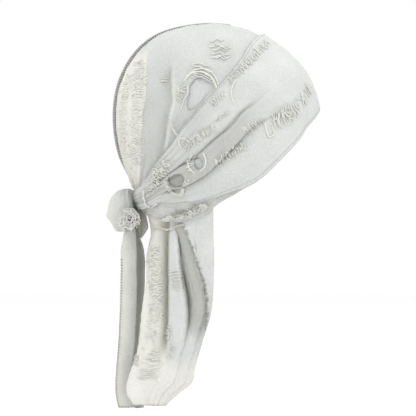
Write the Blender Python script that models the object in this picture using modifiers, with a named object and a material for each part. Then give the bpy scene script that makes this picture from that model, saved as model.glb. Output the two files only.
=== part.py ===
"""Tie-back head wrap: a cap of washed cloth, tied round the head and knotted at the nape.

Metres, +Z up, +X to the forehead, the wearer's right at -Y. The origin is the top of the
hollow for the head, on the middle plane, where the wrap sits on its wearer.

Every piece on the head is laid out on one head form. A place on that form is written as the
side view shows it, forward and up of the head's centre, in shares of HEAD_RADIUS.
"""
import math

import bmesh
import bpy
import numpy as np

PART_NAME = "tie_back_head_wrap"

# Head form
HEAD_RADIUS = 0.0990     # from the head's centre to its back
HEAD_BREADTH = 0.1560
NECK_BREADTH = 0.1260
ROUNDNESS = 2.2          # 2 is an ellipse, more is fuller at the temples

# Cloth and clearances
CROWN_WALL = 0.0016
WRAP_WALL = 0.0015
BAND_WALL = 0.0013
FLAP_WALL = 0.0015
TAIL_WALL = 0.0014
LAYER_GAP = 0.0009       # between layers that lie on each other
SEAT_GAP = 0.0003        # between pieces that meet end to end

# Folds
ROLL_HEIGHT = 0.0052     # the rolled fold along the middle of the wrap
WRAP_SLACK = 0.0022      # how far the wrap's upper and lower parts stand off
TUCK_HEIGHT = 0.0030     # the tuck down the crown's right side
GATHER_HEIGHT = 0.0022   # the crown's gathers at the nape
GATHERS = 4              # on each half of the crown
FLAP_FOLD_DEPTH = 0.0110

# Centre seam
SEAM_HEIGHT = 0.0034
SEAM_THICKNESS = 0.0020
SEAM_NAPE_ANGLE = 218    # its ends on the middle plane, in degrees from straight ahead
SEAM_TOP_ANGLE = 78
SEAM_RINGS = 36
# Section: (height, aside), as shares of SEAM_HEIGHT and SEAM_THICKNESS
SEAM_SECTION = ((0, -0.5), (0.75, -0.5), (1, 0), (0.75, 0.5), (0, 0.5))
SEAM_LOW_END = 0.25      # share of its height left at the top end

# Knot
KNOT_DEPTH = 0.0300      # front to back
KNOT_WIDTH = 0.0370
KNOT_HEIGHT = 0.0430
ROSETTE_RADIUS = 0.0098
ROSETTE_DEPTH = 0.0090

# Hanging cloth
FLAP_DROP = 0.1790       # below the band's lower edge
FLAP_TUCKED = 0.0270     # above it, under the band, at the nape and at the front edges
FLAP_TUCKED_FRONT = 0.0160
RIGHT_TAIL_DROP = 0.1750  # below the knot
LEFT_TAIL_DROP = 0.1500
TAIL_WIDTH = 0.0176      # across a tie's outer face
TAIL_FOLD = 0.0150       # how far its other face folds back behind that

# Side outline of the head form, from straight ahead, anticlockwise in the side view:
# (angle in degrees, radius)
HEAD_OUTLINE = (
    (0, 1.010), (18, 0.968), (32, 0.922), (46, 0.882), (60, 0.862), (90, 0.858),
    (110, 0.884), (133, 0.948), (160, 0.978), (190, 1.002), (210, 1.052), (221, 1.105),
    (231, 1.205), (238, 1.270), (247, 1.500), (260, 1.680), (278, 1.690), (296, 1.580),
    (318, 1.380), (338, 1.160), (350, 1.050),
)

# Lines across the right side, from the forehead's middle back to the knot: (forward, up)
WRAP_UPPER_EDGE = (
    (0.450, 0.735), (0.335, 0.625), (0.200, 0.412), (0.002, 0.177), (-0.134, 0.027),
    (-0.360, -0.245), (-0.560, -0.525), (-0.685, -0.730), (-0.780, -0.805),
)
WRAP_UPPER_FOLD = (
    (0.825, 0.440), (0.640, 0.270), (0.418, 0.077), (0.217, -0.091), (-0.007, -0.317),
    (-0.170, -0.467), (-0.390, -0.608), (-0.600, -0.745), (-0.772, -0.868),
)
WRAP_LOWER_FOLD = (
    (0.955, 0.200), (0.760, 0.060), (0.520, -0.080), (0.283, -0.232), (0.078, -0.445),
    (-0.170, -0.672), (-0.400, -0.780), (-0.600, -0.845), (-0.762, -0.900),
)
WRAP_LOWER_EDGE = (
    (1.010, -0.005), (0.930, -0.124), (0.785, -0.325), (0.620, -0.493), (0.384, -0.707),
    (0.084, -0.822), (-0.230, -0.915), (-0.520, -0.930), (-0.742, -0.960),
)
BAND_UPPER_EDGE = (
    (0.470, -0.560), (0.240, -0.690), (0.060, -0.740), (-0.180, -0.800), (-0.440, -0.830),
    (-0.600, -0.800), (-0.780, -0.795),
)
BAND_LOWER_EDGE = (
    (0.430, -0.670), (0.232, -0.807), (0.040, -0.918), (-0.155, -1.080), (-0.390, -1.112),
    (-0.580, -1.080), (-0.720, -1.015),
)
CROWN_EDGE = (
    (-0.750, -0.825), (-0.580, -0.868), (-0.380, -0.895), (-0.160, -0.895), (0.080, -0.785),
    (0.240, -0.715), (0.400, -0.620), (0.640, -0.450),
)
CROWN_NAPE_ANGLE = 225.5   # where the crown ends on the middle plane, behind and in front
CROWN_BROW_ANGLE = 1.0
CROWN_TUCK = ((-0.440, 0.300), (-0.425, 0.060), (-0.440, -0.120), (-0.490, -0.330))
TUCK_AHEAD = 0.16          # how far the tuck fades out on the flat map, before and behind
TUCK_BEHIND = 0.05

# Where the two folds of the wrap lie, as shares of its width
UPPER_FOLD_AT = 7 / 16
LOWER_FOLD_AT = 11 / 16

# Folds of the wrap along its length, from forehead to knot, as shares of their full height:
# (along, roll, upper slack, lower slack)
WRAP_FOLDS = (
    (0.00, 0.00, 0.10, 0.10),
    (0.25, 0.00, 0.45, 0.20),
    (0.42, 0.25, 0.90, 0.35),
    (0.60, 1.00, 1.00, 0.60),
    (0.74, 0.80, 0.80, 0.80),
    (0.86, 0.36, 0.40, 0.40),
    (1.00, 0.10, 0.12, 0.12),
)

# Side outline of the flap below the band's lower edge: (drop, back edge, front edge),
# drop as a share of FLAP_DROP, edges forward of the head's centre in shares of HEAD_RADIUS
FLAP_OUTLINE = (
    (-0.15, -0.740, -0.030),
    (-0.07, -0.690, -0.030),
    (0.00, -0.650, -0.030),
    (0.25, -0.717, -0.022),
    (0.50, -0.781, -0.055),
    (0.65, -0.808, -0.136),
    (0.80, -0.852, -0.212),
    (0.88, -0.883, -0.250),
    (0.94, -0.884, -0.380),
    (1.00, -0.810, -0.495),
)
FLAP_LEAVES_NECK = -1.150      # height where it starts to hang, in shares of HEAD_RADIUS
# How the flap draws in as it hangs: (drop, right side, back edge, left side), each a
# distance from the middle plane in shares of half the NECK_BREADTH
FLAP_SPREAD = (
    (0.00, -1.00, 0.00, 1.00),
    (0.14, -0.99, -0.13, 0.94),
    (0.30, -0.97, -0.22, 0.80),
    (0.60, -0.88, -0.26, 0.40),
    (0.85, -0.70, -0.32, 0.00),
    (1.00, -0.58, -0.36, -0.16),
)
# Folds down each side of the flap, by their place from the back edge (0) to the front (1):
# (drop, soft valley, deep fold, seamed fold)
RIGHT_FLAP_FOLDS = (
    (0.00, 0.27, 0.37, 0.52),
    (0.25, 0.35, 0.54, 0.71),
    (0.45, 0.40, 0.68, 0.87),
    (0.60, 0.44, 0.74, 0.87),
    (1.00, 0.44, 0.70, 0.82),
)
LEFT_FLAP_FOLDS = (
    (0.00, 0.25, 0.45, 0.62),
    (0.50, 0.30, 0.52, 0.74),
    (1.00, 0.36, 0.60, 0.80),
)
# Shares of the grid given to the stretches between back edge, folds and front edge
FLAP_STOPS = (0, 5 / 16, 9 / 16, 12 / 16, 1)
# Section across the folds: (share of the grid, how far it stands out)
FLAP_FOLD_SECTION = (
    (0.0, 0.00), (3 / 16, 0.15), (5 / 16, -0.25), (6 / 16, 0.05), (8 / 16, 0.30),
    (9 / 16, -0.95), (10 / 16, 0.10), (11 / 16, 0.45), (12 / 16, 0.40), (13 / 16, -0.10),
    (1.0, 0.00),
)

# Sections of the knot from top to bottom: (height, front, back, half width), as shares of
# KNOT_HEIGHT, KNOT_DEPTH, KNOT_DEPTH and KNOT_WIDTH
KNOT_SECTIONS = (
    (1.00, 0.27, 0.42, 0.10),
    (0.97, 0.20, 0.58, 0.27),
    (0.90, 0.13, 0.74, 0.38),
    (0.74, 0.04, 0.92, 0.47),
    (0.50, 0.00, 1.01, 0.50),
    (0.34, 0.00, 1.04, 0.47),
    (0.22, 0.02, 0.90, 0.43),
    (0.08, 0.05, 0.78, 0.39),
    (0.00, 0.08, 0.70, 0.34),
)
KNOT_SIDES = 20
KNOT_ANGLE = 230.5       # where on the head form's outline its front is seated
KNOT_TOP = -0.79         # height of its top above the head's centre, in shares of HEAD_RADIUS
KNOT_FOLD_DEPTH = 0.0016

# Sections of the rosette, the rolled end of a tie, from the knot outward: (depth, radius)
ROSETTE_SECTIONS = (
    (0.00, 0.55), (0.15, 0.90), (0.45, 1.00), (0.75, 0.97), (0.92, 0.80), (0.84, 0.68),
    (1.00, 0.52), (0.90, 0.38), (1.00, 0.22),
)
ROSETTE_SIDES = 18
ROSETTE_PLACE = (0.27, 0.30)   # back from the knot's front and up from its foot, as shares

# Sections of a hanging tie: (drop, back edge, fold, front edge, face), the edges forward of
# the knot's middle in shares of TAIL_WIDTH, the outer face out from the middle plane in
# shares of TAIL_FOLD
RIGHT_TAIL_SECTIONS = (
    (0.00, -0.16, 0.82, 1.06, 0.55),
    (0.13, -0.09, 0.80, 1.25, 0.50),
    (0.34, -0.10, 0.80, 1.25, 0.40),
    (0.53, -0.17, 0.74, 1.08, 0.32),
    (0.67, -0.26, 0.64, 1.00, 0.24),
    (0.82, -0.38, 0.46, 0.90, 0.14),
    (0.92, -0.38, 0.46, 1.00, 0.08),
    (1.00, -0.24, 0.74, 1.20, 0.05),
)
LEFT_TAIL_SECTIONS = (
    (0.00, -0.08, 0.62, 0.70, 0.62),
    (0.20, 0.00, 0.70, 0.84, 0.90),
    (0.60, 0.04, 0.86, 1.02, 1.55),
    (1.00, -0.10, 0.90, 1.10, 2.10),
)
LEFT_TAIL_FOLD = 0.0070
TAIL_CROWN = 0.12        # how far a tie's outer face swells, in shares of TAIL_FOLD


def clear_scene():
    """Remove what the file opened with."""
    for thing in list(bpy.data.objects):
        bpy.data.objects.remove(thing)


def smooth_table(at, places, values):
    """Values of a table between its rows, on a curve without corners."""
    places = np.asarray(places, float)
    values = np.asarray(values, float)
    at = np.clip(np.asarray(at, float), places[0], places[-1])
    slopes = np.gradient(values, places, axis=0)
    row = np.clip(np.searchsorted(places, at, side="right") - 1, 0, len(places) - 2)
    span = places[row + 1] - places[row]
    t = (at - places[row]) / span
    if values.ndim > 1:
        t, span = t[..., None], span[..., None]
    rise = t * t * (3 - 2 * t)
    bend_in = t * (1 - t) ** 2 * span
    bend_out = t * t * (t - 1) * span
    return (values[row] * (1 - rise) + values[row + 1] * rise
            + slopes[row] * bend_in + slopes[row + 1] * bend_out)


def column(table, at, index):
    """One column of a table, read between its rows."""
    rows = np.array(table)
    return smooth_table(at, rows[:, 0], rows[:, index])


def ease(value):
    """A soft step from 0 to 1."""
    value = np.clip(value, 0, 1)
    return value * value * (3 - 2 * value)


def hump(value):
    """A soft rise from 0 at either end of 0..1 to 1 in the middle."""
    return np.sin(np.pi * np.clip(value, 0, 1))


def outline_radius(angle):
    """Radius of the head form's side outline at an angle in radians."""
    rows = np.array(HEAD_OUTLINE)
    degrees = np.concatenate([rows[-2:, 0] - 360, rows[:, 0], rows[:2, 0] + 360])
    radii = np.concatenate([rows[-2:, 1], rows[:, 1], rows[:2, 1]])
    return HEAD_RADIUS * smooth_table(np.degrees(angle) % 360, degrees, radii)


CENTRE_Z = -float(outline_radius(math.pi / 2))
EAR_LEVEL = -0.25 * HEAD_RADIUS
NAPE_LEVEL = -1.15 * HEAD_RADIUS


def half_breadth(up):
    """Half the head form's breadth at a height above its centre, narrowing to the neck."""
    narrowing = ease((up - EAR_LEVEL) / (NAPE_LEVEL - EAR_LEVEL))
    return (HEAD_BREADTH + (NECK_BREADTH - HEAD_BREADTH) * narrowing) / 2


def level(points):
    """1 on the head form, less inside it and more outside."""
    x, y, up = points[..., 0], points[..., 1], points[..., 2] - CENTRE_Z
    side = np.hypot(x, up) / outline_radius(np.arctan2(up, x))
    across = np.abs(y) / half_breadth(up)
    return side ** ROUNDNESS + across ** ROUNDNESS


def normals(points):
    """Directions straight out of the head form."""
    step = 1e-5
    slopes = [level(points + step * axis) - level(points - step * axis) for axis in np.eye(3)]
    slopes = np.stack(slopes, -1)
    return slopes / np.linalg.norm(slopes, axis=-1, keepdims=True)


def to_chart(places):
    """Flat map of one side of the head, from places in the side view.

    The ear is at its middle and the middle plane is the circle of radius 1 round it.
    """
    places = np.asarray(places, float)
    forward, up = places[..., 0], places[..., 1]
    angle = np.arctan2(up, forward)
    reach = np.minimum(np.hypot(forward, up) * HEAD_RADIUS / outline_radius(angle), 1)
    rest = (1 - reach ** ROUNDNESS) ** (1 / ROUNDNESS)
    turn = np.arctan2(reach, rest) / (math.pi / 2)
    return np.stack((turn * np.cos(angle), turn * np.sin(angle)), -1)


def on_head(chart, lift, side):
    """Points over the head form, from its flat map; side is -1 on the right and 1 on the left."""
    turn = np.hypot(chart[..., 0], chart[..., 1]) * math.pi / 2
    angle = np.arctan2(chart[..., 1], chart[..., 0])
    swell = np.abs(np.sin(turn)) ** ROUNDNESS + np.abs(np.cos(turn)) ** ROUNDNESS
    reach = np.sin(turn) * outline_radius(angle) / swell ** (1 / ROUNDNESS)
    up = reach * np.sin(angle)
    y = side * np.cos(turn) * half_breadth(up) / swell ** (1 / ROUNDNESS)
    points = np.stack((reach * np.cos(angle), y, CENTRE_Z + up), -1)
    return points + np.asarray(lift)[..., None] * normals(points)


def chart_line(places, at, from_middle=False):
    """Points of a line on the flat map, at shares of its length.

    A line from the middle plane starts on it, and runs on smoothly as its mirror image.
    """
    chart = to_chart(places)
    if from_middle:
        chart[0] /= np.linalg.norm(chart[0])
    steps = np.linalg.norm(np.diff(chart, axis=0), axis=1)
    along = np.concatenate([[0], np.cumsum(steps)]) / steps.sum()
    if from_middle:
        turn = np.linalg.norm(chart[1])
        chart = np.vstack([chart[1] * (2 - turn) / turn, chart])
        along = np.concatenate([[-along[1]], along])
    return smooth_table(np.maximum(at, 0), along, chart)


def material(name, colour, roughness=0.9):
    """A plain cloth finish."""
    finish = bpy.data.materials.new(name)
    finish.use_nodes = True
    shader = finish.node_tree.nodes["Principled BSDF"]
    shader.inputs["Base Color"].default_value = (*colour, 1)
    shader.inputs["Roughness"].default_value = roughness
    shader.inputs["Metallic"].default_value = 0
    return finish


def add_object(name, mesh, colour):
    """A named object for one sub-part, smooth shaded, in the part's collection."""
    mesh.materials.append(material(name + "_cloth", colour))
    mesh.shade_smooth()
    piece = bpy.data.objects.new(name, mesh)
    bpy.data.collections[PART_NAME].objects.link(piece)
    return piece


def cloth_sheet(name, surface, cells, wall, colour):
    """A wall of cloth: an open grid on surface(u, v), thickened outward."""
    bm = bmesh.new()
    bmesh.ops.create_grid(bm, x_segments=cells[0], y_segments=cells[1], size=0.5)
    flat = np.array([vert.co for vert in bm.verts])
    for vert, place in zip(bm.verts, surface(flat[:, 0] + 0.5, flat[:, 1] + 0.5)):
        vert.co = place
    mesh = bpy.data.meshes.new(name)
    bm.to_mesh(mesh)
    bm.free()
    piece = add_object(name, mesh, colour)
    thicken = piece.modifiers.new("Wall", "SOLIDIFY")
    thicken.thickness = wall
    thicken.offset = 1
    thicken.use_even_offset = True
    return piece


def ring_solid(name, rings, colour):
    """A closed body through rings of points, capped at both ends."""
    bm = bmesh.new()
    loops = [[bm.verts.new(point) for point in ring] for ring in rings]
    sides = len(loops[0])
    for lower, upper in zip(loops, loops[1:]):
        for i in range(sides):
            j = (i + 1) % sides
            bm.faces.new((lower[i], lower[j], upper[j], upper[i]))
    for loop in (loops[0], loops[-1]):
        middle = bm.verts.new(np.mean([vert.co for vert in loop], axis=0))
        for i in range(sides):
            bm.faces.new((loop[i], loop[(i + 1) % sides], middle))
    bmesh.ops.recalc_face_normals(bm, faces=bm.faces)
    mesh = bpy.data.meshes.new(name)
    bm.to_mesh(mesh)
    bm.free()
    return add_object(name, mesh, colour)


def crown_clear(chart):
    """Distance on the flat map from the wrap's upper edge out over the bare crown."""
    line = chart_line(WRAP_UPPER_EDGE, np.linspace(0, 1, 61))
    offsets = chart[..., None, :] - line
    distance = np.linalg.norm(offsets, axis=-1)
    nearest = distance.argmin(-1)
    course = np.gradient(line, axis=0)[nearest]
    offset = np.take_along_axis(offsets, nearest[..., None, None], -2)[..., 0, :]
    above = course[..., 1] * offset[..., 0] - course[..., 0] * offset[..., 1]
    return np.sign(above) * distance.min(-1)


def tuck_lift(chart):
    """How far the crown's tuck lifts the cloth, by place on the flat map."""
    line = chart_line(CROWN_TUCK, np.linspace(0, 1, 25))
    offsets = chart[..., None, :] - line
    distance = np.linalg.norm(offsets, axis=-1)
    nearest = distance.argmin(-1)
    ahead = np.take_along_axis(offsets[..., 0], nearest[..., None], -1)[..., 0]
    reach = np.where(ahead > 0, TUCK_AHEAD, TUCK_BEHIND)
    fade = hump(nearest / (len(line) - 1)) ** 0.5
    return TUCK_HEIGHT * fade * ease(1 - distance.min(-1) / reach)


def crown_surface(u, v):
    """The cap: u from the nape to the forehead, v from the right edge to the left."""
    across = 2 * v - 1
    angle = np.radians(CROWN_NAPE_ANGLE + (CROWN_BROW_ANGLE - CROWN_NAPE_ANGLE) * u)
    middle = np.stack((np.cos(angle), np.sin(angle)), -1)
    edge = chart_line(CROWN_EDGE, u)
    chart = middle + (edge - middle) * np.abs(across)[..., None]
    side = np.where(across > 0, 1, -1)
    gathers = 0.5 - 0.5 * np.cos(math.tau * GATHERS * across)
    gathers = gathers * ease(1 - u / 0.22) * ease(u / 0.03)
    beside_seam = ease((np.abs(across) - 0.08) / 0.15)
    lift = GATHER_HEIGHT * gathers * beside_seam + np.where(side < 0, tuck_lift(chart), 0)
    lift = lift * ease((crown_clear(chart) - 0.03) / 0.08)
    return on_head(chart, lift, side)


def wrap_chart(along, v):
    """Flat map of the wrap: along from the forehead to the knot, v from upper to lower edge."""
    lines = (WRAP_UPPER_EDGE, WRAP_UPPER_FOLD, WRAP_LOWER_FOLD, WRAP_LOWER_EDGE)
    upper, upper_fold, lower_fold, lower = (chart_line(line, along, True) for line in lines)
    stops = (0, UPPER_FOLD_AT, LOWER_FOLD_AT, 1)
    share = [np.clip((v - a) / (b - a), 0, 1)[..., None] for a, b in zip(stops, stops[1:])]
    return (upper + (upper_fold - upper) * share[0] + (lower_fold - upper_fold) * share[1]
            + (lower - lower_fold) * share[2])


def wrap_lift(along, v):
    """Height of the wrap's inner face: over the crown, over the band, and its own folds."""
    over_crown = CROWN_WALL + LAYER_GAP
    over_band = over_crown + BAND_WALL + LAYER_GAP
    below = ease((v - 0.40) / 0.25) * ease((along - 0.2) / 0.2)
    behind = ease((along - 0.68) / 0.12)
    base = over_crown + (over_band - over_crown) * np.maximum(below, behind)
    roll, upper, lower = (column(WRAP_FOLDS, along, i) for i in (1, 2, 3))
    in_roll = (v - UPPER_FOLD_AT) / (LOWER_FOLD_AT - UPPER_FOLD_AT)
    folds = ROLL_HEIGHT * roll * hump(in_roll) ** 0.6
    folds = folds + WRAP_SLACK * upper * hump(v / UPPER_FOLD_AT)
    folds = folds + WRAP_SLACK * lower * hump((v - LOWER_FOLD_AT) / (1 - LOWER_FOLD_AT))
    return base + folds


def wrap_surface(u, v):
    """The wide tie: u from the knot along the left side, over the forehead, to the knot."""
    run = 2 * u - 1
    along = np.abs(run)
    side = np.where(run > 0, -1, 1)
    return on_head(wrap_chart(along, v), wrap_lift(along, v), side)


def band_surface(u, v):
    """The first turn of the ties, under the wrap's lower edge and round the nape."""
    run = 1 - 2 * u
    along = 1 - np.abs(run)
    side = np.where(run > 0, -1, 1)
    upper = chart_line(BAND_UPPER_EDGE, along)
    lower = chart_line(BAND_LOWER_EDGE, along)
    chart = upper + (lower - upper) * v[..., None]
    turn = np.linalg.norm(chart, axis=-1, keepdims=True)
    meet = chart + (chart / turn - chart) * ease((along[..., None] - 0.8) / 0.2)
    return on_head(meet, 0 * along + CROWN_WALL + LAYER_GAP, side)


def flap_folds(drop, across, table):
    """Folds of one side of the flap, from its back edge (0) to its front edge (1).

    Returns how far the cloth stands out or folds in, and its place from back to front: the
    grid's columns follow the folds, so across runs evenly between the stops.
    """
    marks = [0 * drop] + [column(table, drop, i) for i in (1, 2, 3)] + [1 + 0 * drop]
    place = marks[0]
    for i, stop in enumerate(FLAP_STOPS[:-1]):
        share = np.clip((across - stop) / (FLAP_STOPS[i + 1] - stop), 0, 1)
        place = place + (marks[i + 1] - marks[i]) * share
    depth = np.interp(across, *np.array(FLAP_FOLD_SECTION).T)
    fade = ease(drop / 0.12) * (1 - 0.85 * ease((drop - 0.42) / 0.36))
    return FLAP_FOLD_DEPTH * fade * depth, place


def flap_surface(u, v):
    """The neck flap: u from the right front edge round the nape to the left, v downward."""
    across = 1 - 2 * u
    side = np.where(across > 0, -1, 1)
    tucked = FLAP_TUCKED + (FLAP_TUCKED_FRONT - FLAP_TUCKED) * ease(np.abs(across) / 0.55)
    fall = v * (tucked + FLAP_DROP) - tucked
    drop = fall / FLAP_DROP
    right_folds, right_place = flap_folds(drop, np.abs(across), RIGHT_FLAP_FOLDS)
    left_folds, left_place = flap_folds(drop, np.abs(across), LEFT_FLAP_FOLDS)
    place = np.where(side < 0, right_place, left_place)
    neck_drop = np.minimum(drop, 0)
    neck_back, neck_front = (column(FLAP_OUTLINE, neck_drop, i) for i in (1, 2))
    neck_forward = neck_back + (neck_front - neck_back) * place
    neck_up = FLAP_LEAVES_NECK - np.minimum(fall, 0) / HEAD_RADIUS
    neck = on_head(to_chart(np.stack((neck_forward, neck_up), -1)), 0 * v, side)
    drop = np.maximum(drop, 0)
    back, front = (column(FLAP_OUTLINE, drop, i) for i in (1, 2))
    right, middle, left = (column(FLAP_SPREAD, drop, i) for i in (1, 2, 3))
    outer = np.where(side < 0, right, left)
    bulge = np.abs(neck[..., 1]) / (NECK_BREADTH / 2)
    bulge = np.where(side < 0, bulge, bulge ** (1 + 1.3 * ease(drop / 0.2)))
    folds = np.where(side < 0, right_folds, left_folds)
    y = (middle + (outer - middle) * bulge) * NECK_BREADTH / 2 + side * folds
    hanging = fall > 0
    x = np.where(hanging, (back + (front - back) * place) * HEAD_RADIUS, neck[..., 0])
    y = np.where(hanging, y, neck[..., 1])
    return np.stack((x, y, neck[..., 2] - np.maximum(fall, 0)), -1)


def seam_rings():
    """Sections of the raised centre seam, from the nape over the crown."""
    rings = []
    for angle in np.linspace(SEAM_NAPE_ANGLE, SEAM_TOP_ANGLE, SEAM_RINGS):
        chart = np.array([math.cos(math.radians(angle)), math.sin(math.radians(angle))])
        fade = float(ease((angle - SEAM_TOP_ANGLE) / 60))
        height = SEAM_HEIGHT * (SEAM_LOW_END + (1 - SEAM_LOW_END) * fade)
        foot = CROWN_WALL + SEAT_GAP
        ring = []
        for lift, width in SEAM_SECTION:
            point = on_head(chart, foot + lift * height, -1)
            ring.append(point + np.array([0, width * SEAM_THICKNESS, 0]))
        rings.append(ring)
    return rings


def knot_front():
    """Where the knot's front lies, just behind the band at the nape."""
    angle = math.radians(KNOT_ANGLE)
    layers = CROWN_WALL + BAND_WALL + 2 * LAYER_GAP
    return float(outline_radius(angle) + layers) * math.cos(angle)


def knot_foot():
    """Height of the knot's underside."""
    return CENTRE_Z + KNOT_TOP * HEAD_RADIUS - KNOT_HEIGHT


def knot_rings():
    """Sections of the knot, a fat loop of the tied straps with soft creases round it."""
    rings = []
    for height, front, back, width in KNOT_SECTIONS:
        middle = knot_front() - KNOT_DEPTH * (front + back) / 2
        ring = []
        for angle in np.linspace(0, math.tau, KNOT_SIDES, endpoint=False):
            crease = KNOT_FOLD_DEPTH * (math.cos(3 * angle + 5 * height) - 1) * 0.5
            x = middle + (KNOT_DEPTH * (back - front) / 2 + crease) * math.cos(angle)
            y = (width * KNOT_WIDTH + crease) * math.sin(angle)
            ring.append((x, y, knot_foot() + KNOT_HEIGHT * height))
        rings.append(ring)
    return rings


def knot_side(x, z):
    """The knot's widest half width behind the foot of a rosette centred at x, z."""
    heights = (z - knot_foot() + ROSETTE_RADIUS * np.linspace(-0.2, 0.2, 5)) / KNOT_HEIGHT
    sections = np.array(KNOT_SECTIONS)[::-1]
    front, back, width = (smooth_table(heights, sections[:, 0], sections[:, i]) for i in (1, 2, 3))
    middle = knot_front() - KNOT_DEPTH * (front + back) / 2
    away = np.abs(x - 0.2 * ROSETTE_RADIUS - middle) / (KNOT_DEPTH * (back - front) / 2)
    return float(np.max(width * KNOT_WIDTH * np.sqrt(np.maximum(1 - away ** 2, 0))))


def rosette_rings():
    """Sections of the tie's rolled end, which stands out from the knot's right side."""
    back, up = ROSETTE_PLACE
    x = knot_front() - back * KNOT_DEPTH
    z = knot_foot() + up * KNOT_HEIGHT
    y = -knot_side(x, z) - SEAT_GAP
    rings = []
    for depth, radius in ROSETTE_SECTIONS:
        ring = []
        for angle in np.linspace(0, math.tau, ROSETTE_SIDES, endpoint=False):
            reach = radius * ROSETTE_RADIUS * (1 + 0.05 * math.cos(3 * angle + 4 * depth))
            ring.append((x + reach * math.cos(angle), y - depth * ROSETTE_DEPTH,
                         z + reach * math.sin(angle)))
        rings.append(ring)
    return rings


def tail_surface(table, side, drop_length, fold_back):
    """A hanging tie, folded lengthwise: u across from back edge to front edge, v downward."""
    middle = knot_front() - KNOT_DEPTH / 2
    top = knot_foot() - SEAT_GAP

    def surface(u, v):
        back, fold, front, face = (column(table, v, i) for i in (1, 2, 3, 4))
        outer = np.clip(2 * u, 0, 1)
        inner = np.clip(2 * u - 1, 0, 1)
        x = middle + TAIL_WIDTH * (back + (fold - back) * outer + (front - fold) * inner)
        out = TAIL_FOLD * (face + TAIL_CROWN * hump(outer)) - fold_back * inner
        return np.stack((x, side * out, top - drop_length * v), -1)

    return surface


def build():
    """Make every piece."""
    clear_scene()
    group = bpy.data.collections.new(PART_NAME)
    bpy.context.scene.collection.children.link(group)
    cloth_sheet("crown", crown_surface, (24, 24), CROWN_WALL, (0.80, 0.81, 0.78))
    cloth_sheet("forehead_wrap", wrap_surface, (44, 16), WRAP_WALL, (0.84, 0.85, 0.82))
    cloth_sheet("lower_band", band_surface, (44, 4), BAND_WALL, (0.74, 0.74, 0.70))
    cloth_sheet("neck_flap", flap_surface, (32, 16), FLAP_WALL, (0.78, 0.79, 0.75))
    ring_solid("centre_seam", seam_rings(), (0.38, 0.39, 0.36))
    ring_solid("knot", knot_rings(), (0.82, 0.83, 0.81))
    ring_solid("knot_end", rosette_rings(), (0.84, 0.85, 0.82))
    right = tail_surface(RIGHT_TAIL_SECTIONS, -1, RIGHT_TAIL_DROP, TAIL_FOLD)
    cloth_sheet("tie_tail_right", right, (8, 16), TAIL_WALL, (0.82, 0.82, 0.79))
    left = tail_surface(LEFT_TAIL_SECTIONS, 1, LEFT_TAIL_DROP, LEFT_TAIL_FOLD)
    cloth_sheet("tie_tail_left", left, (6, 12), TAIL_WALL, (0.82, 0.82, 0.79))


build()
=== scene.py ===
"""Tie-back head wrap: its looks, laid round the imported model.

Metres, +Z up, +X to the forehead, the wearer's right at -Y, as in the CAD model. The tables
of torn patches place things on a drawing of the right side, in millimetres across and down
from its upper left corner.
"""
import math

import bpy
import numpy as np
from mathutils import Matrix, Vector
from mathutils.bvhtree import BVHTree


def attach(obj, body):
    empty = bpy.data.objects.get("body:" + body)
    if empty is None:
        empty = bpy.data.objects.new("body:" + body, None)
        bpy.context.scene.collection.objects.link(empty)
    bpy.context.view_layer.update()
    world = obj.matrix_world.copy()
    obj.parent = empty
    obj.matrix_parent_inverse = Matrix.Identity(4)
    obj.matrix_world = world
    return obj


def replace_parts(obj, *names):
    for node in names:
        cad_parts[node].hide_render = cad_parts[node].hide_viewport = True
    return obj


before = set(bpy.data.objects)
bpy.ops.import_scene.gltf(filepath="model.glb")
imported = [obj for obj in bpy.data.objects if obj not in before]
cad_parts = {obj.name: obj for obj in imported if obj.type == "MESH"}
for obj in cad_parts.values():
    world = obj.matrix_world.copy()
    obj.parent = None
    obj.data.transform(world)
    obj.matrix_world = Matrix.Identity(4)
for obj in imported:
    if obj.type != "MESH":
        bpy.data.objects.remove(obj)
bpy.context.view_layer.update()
BODY = "root"

# Head form
HEAD_RADIUS = 0.0990     # from the head's centre to its back
HEAD_BREADTH = 0.1560
NECK_BREADTH = 0.1260
ROUNDNESS = 2.2          # 2 is an ellipse, more is fuller at the temples

# Cloth and clearances
CROWN_WALL = 0.0016
WRAP_WALL = 0.0015
BAND_WALL = 0.0013
FLAP_WALL = 0.0015
TAIL_WALL = 0.0014
LAYER_GAP = 0.0009       # between layers that lie on each other
SEAT_GAP = 0.0003        # between pieces that meet end to end

# Folds
ROLL_HEIGHT = 0.0052     # the rolled fold along the middle of the wrap
WRAP_SLACK = 0.0022      # how far the wrap's upper and lower parts stand off
TUCK_HEIGHT = 0.0030     # the tuck down the crown's right side
GATHER_HEIGHT = 0.0022   # the crown's gathers at the nape
GATHERS = 4              # on each half of the crown
FLAP_FOLD_DEPTH = 0.0110

# Centre seam
SEAM_HEIGHT = 0.0034
SEAM_HALF_WIDTH = 0.0014
SEAM_NAPE_ANGLE = 218    # its ends on the middle plane, in degrees from straight ahead
SEAM_TOP_ANGLE = 80
SEAM_PITCH = 0.0026      # of the thread wound over its edge
SEAM_FADES = 92          # where it starts to rise from the cloth, over SEAM_RISE degrees
SEAM_RISE = 60
SEAM_CORD = 0.00100      # radius of the cords that fill it

# Knot
KNOT_DEPTH = 0.0300      # front to back
KNOT_WIDTH = 0.0370
KNOT_HEIGHT = 0.0430
ROSETTE_RADIUS = 0.0098
ROSETTE_DEPTH = 0.0090
ROSETTE_TURNS = 3.2

# Hanging cloth
FLAP_DROP = 0.1790       # below the band's lower edge
FLAP_TUCKED = 0.0270     # above it, under the band, at the nape and at the front edges
FLAP_TUCKED_FRONT = 0.0160
RIGHT_TAIL_DROP = 0.1750  # below the knot
LEFT_TAIL_DROP = 0.1500
TAIL_WIDTH = 0.0176      # across a tie's outer face
TAIL_FOLD = 0.0150       # how far its other face folds back behind that

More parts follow.
